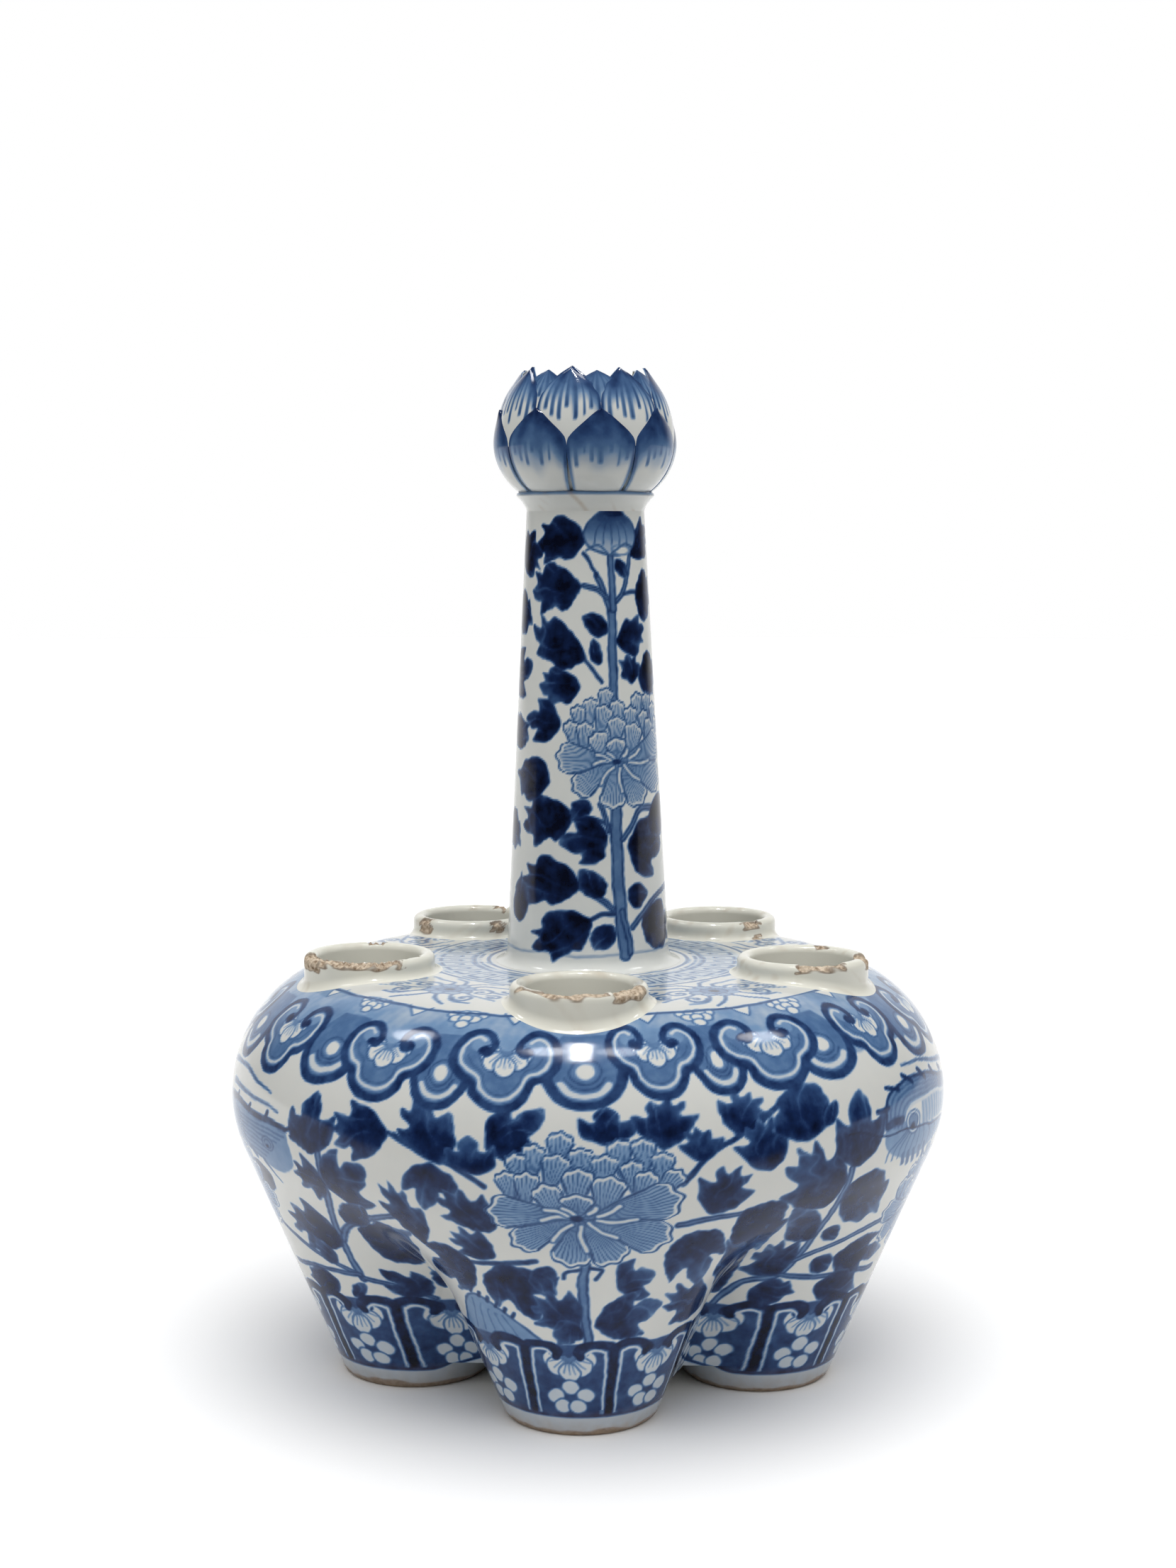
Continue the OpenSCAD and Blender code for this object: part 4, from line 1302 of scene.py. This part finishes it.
def clear_of_spouts(s, angle):
    """Which blocks of the shoulder stay, as those under the spouts are left out."""
    middle_s = (s[:-1:BLOCK] + s[BLOCK::BLOCK]) / 2
    middle_angle = angle[::BLOCK] + 180 / SHOULDER_COLUMNS * BLOCK
    middle = around(shoulder_at(middle_s)[0][:, None], middle_angle, 0)
    keep = np.ones(middle.shape[:2], bool)
    for lobe in range(LOBES):
        axis = around(SPOUT_RING, lobe * LOBE_TURN, 0)
        keep &= np.hypot(middle[..., 0] - axis[0], middle[..., 1] - axis[1]) > SPOUT_R - 0.4
    return keep


def close_edges(sheet, out_index, in_index, keep):
    """Faces between the outer and the inner wall along the edges of the blocks that stay."""
    rows, columns = keep.shape
    for row, column in zip(*np.nonzero(keep)):
        i, j = row * BLOCK, column * BLOCK
        out = out_index[i:i + BLOCK + 1, j:j + BLOCK + 1]
        inside = in_index[row:row + 2, column:column + 2]
        if row == 0 or not keep[row - 1, column]:
            sheet.face(np.concatenate([out[0, ::-1], inside[0]]))
        if row == rows - 1 or not keep[row + 1, column]:
            sheet.face(np.concatenate([out[-1], inside[1, ::-1]]))
        if not keep[row, column - 1]:
            sheet.face(np.concatenate([out[:, 0], inside[::-1, 0]]))
        if not keep[row, (column + 1) % columns]:
            sheet.face(np.concatenate([out[::-1, -1], inside[:, 1]]))


def paint_shoulder(angle, s, points):
    tone = np.full(angle.size, WHITE)
    band = s < BAND_TOP
    part = tone[band]
    canvas = Canvas(angle[band] * BODY_FLAT, SEAM_Z + s[band], part, BODY_ROUND)
    paint_garden(canvas)
    paint_ruyi_band(canvas)
    tone[band] = part
    part = tone[~band]
    top = points.reshape(-1, 3)[~band]
    paint_top(Canvas(top[:, 0], top[:, 1], part))
    tone[~band] = part
    return tone


def make_shoulder():
    s = np.concatenate([np.arange(0, FINE_END, FINE_STEP), np.linspace(FINE_END, SOCKET_S, REST_ROWS)])
    s = s[: (len(s) - 1) // BLOCK * BLOCK + 1]
    angle = full_turn(SHOULDER_COLUMNS)
    r, z = shoulder_at(s)
    outer = around(r[:, None], angle, z[:, None])
    r, z = shoulder_at(s[::BLOCK], WALL)
    inner = around(r[:, None], angle[::BLOCK], z[:, None])
    keep = clear_of_spouts(s, angle)
    sheet = Sheet()
    out_index, in_index = wrap_grid(sheet.add(outer)), wrap_grid(sheet.add(inner))
    u = np.linspace(0, 1, SHOULDER_COLUMNS + 1)
    fine_keep = np.repeat(np.repeat(keep, BLOCK, 0), BLOCK, 1)
    sheet.grid(out_index, u, np.linspace(0, 0.85, len(s)), fine_keep)
    sheet.grid(in_index[:, ::-1], u[::-BLOCK], np.linspace(0.86, 0.96, len(in_index)), keep[:, ::-1])
    close_edges(sheet, out_index, in_index, keep)
    tone = np.zeros(sheet.count)
    tone[:s.size * angle.size] = paint_shoulder(*flat_grid(angle, s), outer)
    segments = [f"shoulder_{i}" for i in range(1, LOBES + 1)]
    tone = tone[sheet.drop_loose()]
    make_piece("shoulder", sheet, "painted_glaze", painted, nodes=segments, cobalt=tone)


# Spouts

SPOUT_COLUMNS = 320
LIP = (SPOUT_R - SPOUT_BORE) / 2
LIP_Z = RIM_Z - LIP
SPOUT_FLARE = 1.8
# Chips in the rims: from and to in degrees round each spout from the front of the vase, and the part of
# the lip that they take, where -1 is its inner edge and 1 its outer edge
CHIPS = {
    1: [(-66, -34, -0.2, 1.0), (-36, 30, -1.3, 0.92), (30, 78, -1.2, 1.5)],
    2: [(-8, 40, -1.1, 1.3), (66, 102, -1.2, 2.0), (150, 165, -1, 1)],
    3: [(26, 48, -0.5, 1.3), (-80, -66, -1, 1), (34, 46, 1.9, 2.8)],
    4: [(-58, -38, 0.3, 2.2), (22, 36, 0.2, 1.5), (140, 160, -1, 1)],
    5: [(-86, -40, -0.75, 1.9), (-44, 38, -0.75, 1.2), (44, 66, -1.2, 0.1), (170, 190, -1, 1)],
}


def spout_points(turn, lip):
    """Rows of points of the front spout: bore, lip, straight wall, flare and hidden skirt."""
    aim = around(1, turn, 0)

    def ground(rho):
        """Height of the shoulder at a distance from the spout's axis."""
        return shoulder_height(np.hypot(rho * aim[:, 0], rho * aim[:, 1] - SPOUT_RING))

    fillet = np.minimum(SPOUT_FLARE, 0.86 * (LIP_Z - ground(SPOUT_R)))
    drop = ground(SPOUT_R) + fillet - LIP_Z
    skirt = SPOUT_R + fillet + 0.2
    rows = [(SPOUT_BORE, ground(SPOUT_BORE) - WALL + 0.3), (SPOUT_BORE, LIP_Z)]
    rows += [(SPOUT_BORE + LIP - LIP * math.cos(b), LIP_Z + LIP * math.sin(b)) for b in lip]
    rows += [(SPOUT_R, LIP_Z + share * drop) for share in np.linspace(0.05, 0.93, 14)]
    for b in np.linspace(0, math.pi / 2, 9):
        rho = SPOUT_R + fillet * (1 - math.cos(b))
        rows.append((rho, ground(rho) + fillet * (1 - math.sin(b))))
    rows += [(skirt, ground(skirt) - 0.25), (SPOUT_R, ground(SPOUT_R) - 1.6)]
    rows += [(SPOUT_R - 0.3, ground(SPOUT_R - 0.3) - WALL + 0.3)]
    points = np.stack([around(rho, turn, height) for rho, height in rows])
    points[..., 1] -= SPOUT_RING
    return points


def make_spout(i):
    turn = np.linspace(0, 360, SPOUT_COLUMNS, endpoint=False)
    lip = np.linspace(0.2, 2.94, 20)
    points = spout_points(turn, lip)
    x, y, z = np.moveaxis(points, -1, 0)
    row = np.arange(len(points))[:, None]
    # Across the lip from -1 to 1, and further down the outside
    across = np.full((len(points), 1), 1.0)
    across[:len(lip) + 2, 0] = -np.cos(np.concatenate([[0, 0], lip]))
    across = across + np.where(across > 0.99, np.maximum(LIP_Z - z, 0) / LIP, 0)
    rough = waves(x / 2 + z / 2.4, y / 2 - z / 2.9, 50 + i)
    ragged = waves(x / 5 + z / 5, y / 5 - z / 6, 90 + i)
    bare = np.zeros(z.shape)
    for start, stop, inner, outer in CHIPS[i]:
        off = (turn + LOBE_TURN * (i - 1) - (start + stop) / 2 + 180) % 360 - 180
        length = ease(((stop - start) / 2 - np.abs(off) + 3 * rough) / 3)
        breadth = ease((across - inner) / 0.3 + ragged) * ease((outer - across) / 0.3 + ragged)
        bare = np.maximum(bare, length * breadth * (row > 1))
    stain = 0.4 * (row > 2) * np.clip(ragged - 0.2, 0, 1) * (1 - bare)
    sink = bare * np.clip(0.6 + 0.4 * rough + 0.3 * ragged, 0.1, 1.2)
    points[..., 2] = z - sink * np.clip((z - LIP_Z) / LIP, 0, 1)
    sheet = Sheet()
    sheet.ring(to_lobe(points, i), flip=True)
    make_piece(f"spout_{i}", sheet, "plain_glaze", plain_with_painted_light, bare=bare.ravel(), stain=stain.ravel())


# Neck

NECK_COLUMNS, NECK_ROWS, NECK_INNER = 300, 300, 9


def neck_radius(z):
    up = np.clip((z - SHOULDER_Z) / (NECK_TOP_Z - SHOULDER_Z), 0, 1)
    return blend(NECK_BASE_R, NECK_TOP_R, up)


def make_neck():
    z = np.linspace(SHOULDER_Z - WALL, NECK_TOP_Z, NECK_ROWS + 1)
    low = np.clip(NECK_FILLET - (z - SHOULDER_Z), 0, NECK_FILLET)
    foot = np.where(z >= SHOULDER_Z, NECK_FILLET - np.sqrt(NECK_FILLET**2 - low**2), 0)
    inner_z = np.linspace(NECK_TOP_Z, SHOULDER_Z - WALL, NECK_INNER)
    r = np.concatenate([neck_radius(z) + foot, neck_radius(inner_z) - NECK_WALL])
    angle = full_turn(NECK_COLUMNS)
    sheet = Sheet()
    v = np.concatenate([np.linspace(0, 0.86, len(z)), np.linspace(0.87, 0.97, NECK_INNER + 1)])
    sheet.ring(lean(around(r[:, None], angle, np.concatenate([z, inner_z])[:, None])), v)
    flat_angle, flat_z = flat_grid(angle, z)
    tone = np.full(sheet.count, WHITE)
    paint_neck(Canvas(flat_angle * NECK_FLAT, flat_z, tone[:flat_z.size], NECK_ROUND))
    make_piece("neck", sheet, "painted_glaze", lit_upper_glaze, cobalt=tone)


# Lotus mouth

CUP_COLUMNS = 240
COLLAR_SWELL, COLLAR_SWELL_Z = 1.6, 3.6


def make_lotus_cup():
    throat = NECK_TOP_R - NECK_WALL
    edge_z = CUP_RIM_Z - 0.6
    collar = [
        (blend(NECK_TOP_R, COLLAR_R, t**COLLAR_SWELL), NECK_TOP_Z + COLLAR_SWELL_Z * t)
        for t in np.linspace(0, 1, 10)
    ]
    collar += [(COLLAR_R - 0.1, COLLAR_Z - 0.4), (COLLAR_R - 0.6, COLLAR_Z)]
    outer_z, inner_z = np.linspace(COLLAR_Z + 0.2, edge_z, 24), np.linspace(edge_z, COLLAR_Z + 2.2, 16)
    rim = lotus_at(np.array(CUP_RIM_Z), PETAL_T + 1)
    cup = list(zip(lotus_at(outer_z, PETAL_T - 0.05), outer_z))
    cup += [(rim + 0.4, CUP_RIM_Z), (rim - 0.4, CUP_RIM_Z)]
    cup += list(zip(lotus_at(inner_z, PETAL_T + CUP_WALL), inner_z))
    cup += [(throat, COLLAR_Z + 1.6), (throat, NECK_TOP_Z)]
    profile = np.array(collar + cup)
    angle = full_turn(CUP_COLUMNS)
    sheet = Sheet()
    sheet.ring(lean(around(profile[:, :1], angle, profile[:, 1:])))
    turn, z = flat_grid(np.radians(angle), profile[:, 1])
    outside = np.repeat(np.arange(len(profile)) < len(collar), CUP_COLUMNS)
    tone = np.where(outside & (np.abs(z - COLLAR_Z + 0.3) < 0.35), WASH + 0.08, WHITE)
    stain = outside * np.clip(waves(3 * np.cos(turn), 3 * np.sin(turn) + z / 6, 61) - 0.5, 0, 1)
    make_piece("lotus_cup", sheet, "painted_glaze", lit_upper_glaze, cobalt=tone, stain=stain)


PETAL_COLUMNS, PETAL_ROWS = 36, 44
PITCH_HALF = 180 / PETALS - 0.2
UPPER_WIDEST = 0.4
# Paint of each row, by shares of a petal's height
LOWER_PAINT = dict(
    wash_low=0.14, wash_fade=0.5, line_low=0.36, line_tone=MID + 0.06, strong_low=0.44, strength=0.77
)
UPPER_PAINT = dict(
    wash_low=0.44, wash_fade=0.34, line_low=0.36, line_tone=DEEP - 0.04, strong_low=0.58, strength=0.77
)
INNER_PAINT = dict(
    wash_low=0.3, wash_fade=0.34, line_low=0.3, line_tone=DEEP - 0.04, strong_low=0.62, strength=0.66
)


def petal_tone(u, t, seed, wash_low, wash_fade, line_low, line_tone, strong_low, strength):
    """Blue at the tip that runs down in a wash and in brush lines to the white foot of a petal."""
    uneven = 0.05 * waves(u * 1.2 + seed, t, seed)
    wash = ease((t - wash_low + uneven - 0.1 * np.abs(u)) / wash_fade)
    tone = blend(WHITE, MID - 0.04, wash)
    tone = blend(tone, strength, ease((t - strong_low + 0.16 * np.abs(u) + 2 * uneven) / 0.5))
    across = u * 4.1 + 0.2 * waves(u, t / 3, seed + 4)
    ends = line_low + 0.09 * np.sin(np.round(across) * 2.3 + seed)
    line = ease((0.27 - np.abs(across - np.round(across))) / 0.14) * ease((t - ends) / 0.05)
    tone = blend(tone, np.maximum(tone, line_tone), line * (1 - 0.35 * ease((t - ends) / 0.4)))
    edge = ease((np.abs(u) - 0.86) / 0.1)
    return np.clip(blend(tone, DEEP, edge * (0.4 + 0.6 * ease(t * 2))), 0, 0.9)


def edge_of(index):
    """The points round the edge of a grid."""
    return np.concatenate([index[0, :-1], index[:-1, -1], index[-1, :0:-1], index[:0:-1, 0]])


def make_petals(node, low_z, high_z, half_width, inset, between, paint):
    """A row of moulded petals. half_width gives half a petal's width at a share of its height."""
    sheet = Sheet()
    tones = []
    u = np.linspace(-1, 1, PETAL_COLUMNS + 1)
    t = np.linspace(0, 1, PETAL_ROWS + 1)[:, None]
    vary = np.random.default_rng(len(node))
    for i in range(PETALS):
        middle = LOTUS_TURN + (i + between / 2) * 360 / PETALS + vary.uniform(-1.2, 1.2)
        tip = high_z - vary.uniform(0, 0.5)
        z = blend(low_z, tip, t)
        angle = middle + np.maximum(half_width(t), 0.25) * u
        edge = np.abs(u)
        curl = 0.25 * ease((t - 0.8) / 0.2) * (1 - edge)
        back = lotus_at(z, PETAL_T - 0.2)
        face = lotus_at(z, inset) - 0.45 * edge**2 + curl - 0.12 - 0.45 * ease((t - 0.55) / 0.45)
        front = sheet.add(lean(around(np.maximum(face, back + 0.35), angle, z)))
        rear = sheet.add(lean(around(back, angle, z)))
        rim = wrap_grid(np.stack([edge_of(rear), edge_of(front)]))
        from_u, to_u = i / PETALS, (i + 0.96) / PETALS
        across = np.linspace(from_u, to_u, PETAL_COLUMNS + 1)
        sheet.grid(front, across, np.linspace(0, 0.6, PETAL_ROWS + 1))
        sheet.grid(rear[:, ::-1], across, np.linspace(0.62, 0.9, PETAL_ROWS + 1))
        sheet.grid(rim, np.linspace(from_u, to_u, rim.shape[1]), [0.92, 0.96])
        tone = petal_tone(u[None, :], t, 3 * i + len(node), **paint)
        tones += [tone.ravel(), np.full(rear.size, WHITE)]
    make_piece(node, sheet, "painted_glaze", lit_upper_glaze, sharp=50, cobalt=np.concatenate(tones))


def lower_width(t):
    """Full width up to the shoulder of the petal, then a round arch with a small point."""
    part = (UPPER_FOOT_Z - COLLAR_Z) / (LOWER_TIP_Z - COLLAR_Z)
    rise = np.clip((t - part) / (1 - part), 0, 1)
    return PITCH_HALF * (1 - rise**2.1) * (0.93 + 0.07 * ease(t / part))


def upper_width(t):
    """Spreads from a narrow foot, and narrows in an arch to the tip."""
    foot = 0.3 + 0.7 * ease(t / UPPER_WIDEST)
    arch = 1 - (np.maximum(t - UPPER_WIDEST, 0) / (1 - UPPER_WIDEST)) ** 3.2
    return PITCH_HALF * np.where(t < UPPER_WIDEST, foot, arch)


def inner_width(t):
    return PITCH_HALF * (1 - t**4)


def make_lotus():
    make_petals("lower_petals", COLLAR_Z - 0.2, LOWER_TIP_Z, lower_width, 0.0, 0, LOWER_PAINT)
    make_petals("upper_petals", UPPER_FOOT_Z, TOP_Z, upper_width, 0.5, 1, UPPER_PAINT)
    make_petals("inner_petals", LOWER_TIP_Z - 2, TOP_Z - 0.8, inner_width, 1.0, 0, INNER_PAINT)


for number in range(1, LOBES + 1):
    make_lobe(number)
    make_foot(number)
    make_spout(number)
make_shoulder()
make_neck()
make_lotus_cup()
make_lotus()
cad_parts["base"].data.materials.clear()
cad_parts["base"].data.materials.append(plain_with_painted_light)


# Stage: pale floor, soft lights, and the camera where the photograph was taken, in metres

TARGET = Vector((0, 0, 0.14056))
DISTANCE = 0.6
ELEVATION = math.radians(5.909)
AZIMUTH = math.radians(2.13)
LENS, SENSOR = 56.88, 36
STUDIO = 4.0
LAMP_Z = 1.3
FLOOR_GLOW = 0.185
FLOOR_PALE, FLOOR_DARK = 0.86, 0.08
# The floor goes from dark to pale between these, and its glow starts under the vase between the others,
# which paints a darker shadow round the feet
DARK_Y, PALE_Y = -0.3, -0.145
GLOW_FROM, GLOW_TO = 0.045, 0.12
FRONT_Y, FRONT_Z = -0.16, 0.0002
BACKDROP_SIDES = 64
# Round lights that show as soft glows in the glaze: place, width and energy
GLOWS = [
    ("glow_left", -0.17, -0.1, 0.18, 1.7), ("glow_right", 0.14, -0.1, 0.18, 1.25),
    ("glow_far_left", -0.74, 0.41, 0.26, 2.8), ("glow_far_right", 0.7, 0.41, 0.26, 2.3),
]


def stage_sheet(name, points, faces, inputs):
    """A matt sheet that glows. inputs is a function that gives its colour and the strength of its glow."""
    mesh = bpy.data.meshes.new(name)
    mesh.from_pydata(points, [], faces)
    material = bpy.data.materials.new(name)
    kit = Nodes(material)
    shader = kit.tree.nodes["Principled BSDF"]
    kit.plug(shader, {"Emission Color": (1, 1, 1, 1), "Specular IOR Level": 0, **inputs(kit)})
    mesh.materials.append(material)
    sheet = bpy.data.objects.new(name, mesh)
    link(sheet)
    return sheet


def rectangle(low_y, high_y, z):
    return [(-STUDIO, low_y, z), (STUDIO, low_y, z), (STUDIO, high_y, z), (-STUDIO, high_y, z)]


def make_backdrop(name, points, faces, pale, glow):
    """A pale sheet that closes the studio. It is only looked at, and doesn't light the vase."""
    inputs = {"Base Color": (pale, pale, pale, 1), "Emission Strength": glow}
    sheet = stage_sheet(name, points, faces, lambda kit: inputs)
    sheet.visible_diffuse = False
    sheet.visible_glossy = False
    sheet.visible_shadow = False


def make_backdrops():
    front = rectangle(-STUDIO, FRONT_Y, FRONT_Z)
    make_backdrop("front_floor", front, [(0, 1, 2, 3)], FLOOR_PALE, FLOOR_GLOW)
    n = BACKDROP_SIDES
    turns = [2 * math.pi * i / n for i in range(n)]
    ring = [(STUDIO * math.cos(a), STUDIO * math.sin(a), z) for z in (0, 2 * STUDIO) for a in turns]
    walls = [(i, (i + 1) % n, (i + 1) % n + n, i + n) for i in range(n)]
    make_backdrop("backdrop", ring, walls, 0, 1)


def floor_inputs(kit):
    place = kit.place()
    y = kit.add("ShaderNodeSeparateXYZ", {0: place}).outputs["Y"]
    away = kit.add("ShaderNodeVectorMath", {0: place}, operation="LENGTH").outputs["Value"]
    # Painted shadow: no glow near the vase, so the floor is darker round its feet
    clear = kit.fade(away, GLOW_FROM, GLOW_TO, 0.0, FLOOR_GLOW)
    return {
        "Base Color": kit.fade(y, DARK_Y, PALE_Y, FLOOR_DARK, FLOOR_PALE),
        "Emission Strength": kit.math("MULTIPLY", kit.fade(y, DARK_Y, PALE_Y, 0.0, 1.0), clear),
    }


def make_floor():
    """A pale floor, which is dark towards the camera, so that the dark blue stays deep. Its glow fades out
    under the vase, which paints a shadow there.
    """
    stage_sheet("floor", rectangle(-STUDIO, STUDIO, 0), [(0, 1, 2, 3)], floor_inputs)


def make_world():
    """White behind the vase and dim behind the camera, so that the dark blue stays deep."""
    world = bpy.data.worlds.new("studio")
    kit = Nodes(world)
    y = kit.add("ShaderNodeSeparateXYZ", {0: kit.place("Generated")}).outputs["Y"]
    strength = kit.fade(y, 0.55, 0.9, 0.06, 1.0)
    kit.plug(kit.tree.nodes["Background"], {"Color": (1, 1, 1, 1), "Strength": strength})
    bpy.context.scene.world = world


def make_sun(name, side, forward, up, energy, angle):
    """Soft light from far away, which the glaze does not mirror."""
    lamp = bpy.data.lights.new(name, "SUN")
    lamp.energy = energy
    lamp.angle = math.radians(angle)
    light = bpy.data.objects.new(name, lamp)
    light.rotation_euler = Vector((side, forward, up)).to_track_quat("Z", "Y").to_euler()
    light.visible_glossy = False
    link(light)


def make_mirrored_light(name, shape, x, y, width, length, energy):
    """A light overhead that only shows in the glaze: a strip as a highlight, a disk as a soft glow."""
    lamp = bpy.data.lights.new(name, "AREA")
    lamp.shape = shape
    lamp.size = width
    lamp.size_y = length
    lamp.energy = energy
    light = bpy.data.objects.new(name, lamp)
    light.location = (x, y, LAMP_Z)
    light.visible_diffuse = False
    link(light)


def make_lights():
    make_sun("ceiling", 0.05, -0.07, 1, 2.1, 70)
    make_sun("left_fill", -0.75, -0.85, 0.95, 0.9, 60)
    make_sun("right_fill", 0.75, -0.8, 0.95, 0.9, 60)
    make_mirrored_light("strip", "RECTANGLE", -0.03, -0.12, 0.028, 0.36, 11)
    for name, x, y, width, energy in GLOWS:
        make_mirrored_light(name, "DISK", x, y, width, width, energy)


def make_camera():
    lens = bpy.data.cameras.new("camera")
    lens.lens = LENS
    lens.sensor_width = SENSOR
    camera = bpy.data.objects.new("camera", lens)
    level = math.cos(ELEVATION)
    away = Vector((math.sin(AZIMUTH) * level, -math.cos(AZIMUTH) * level, math.sin(ELEVATION)))
    camera.location = TARGET + away * DISTANCE
    camera.rotation_euler = (-away).to_track_quat("-Z", "Y").to_euler()
    link(camera)
    bpy.context.scene.camera = camera


make_floor()
make_backdrops()
make_world()
make_lights()
make_camera()
bpy.context.scene.view_settings.view_transform = "Standard"
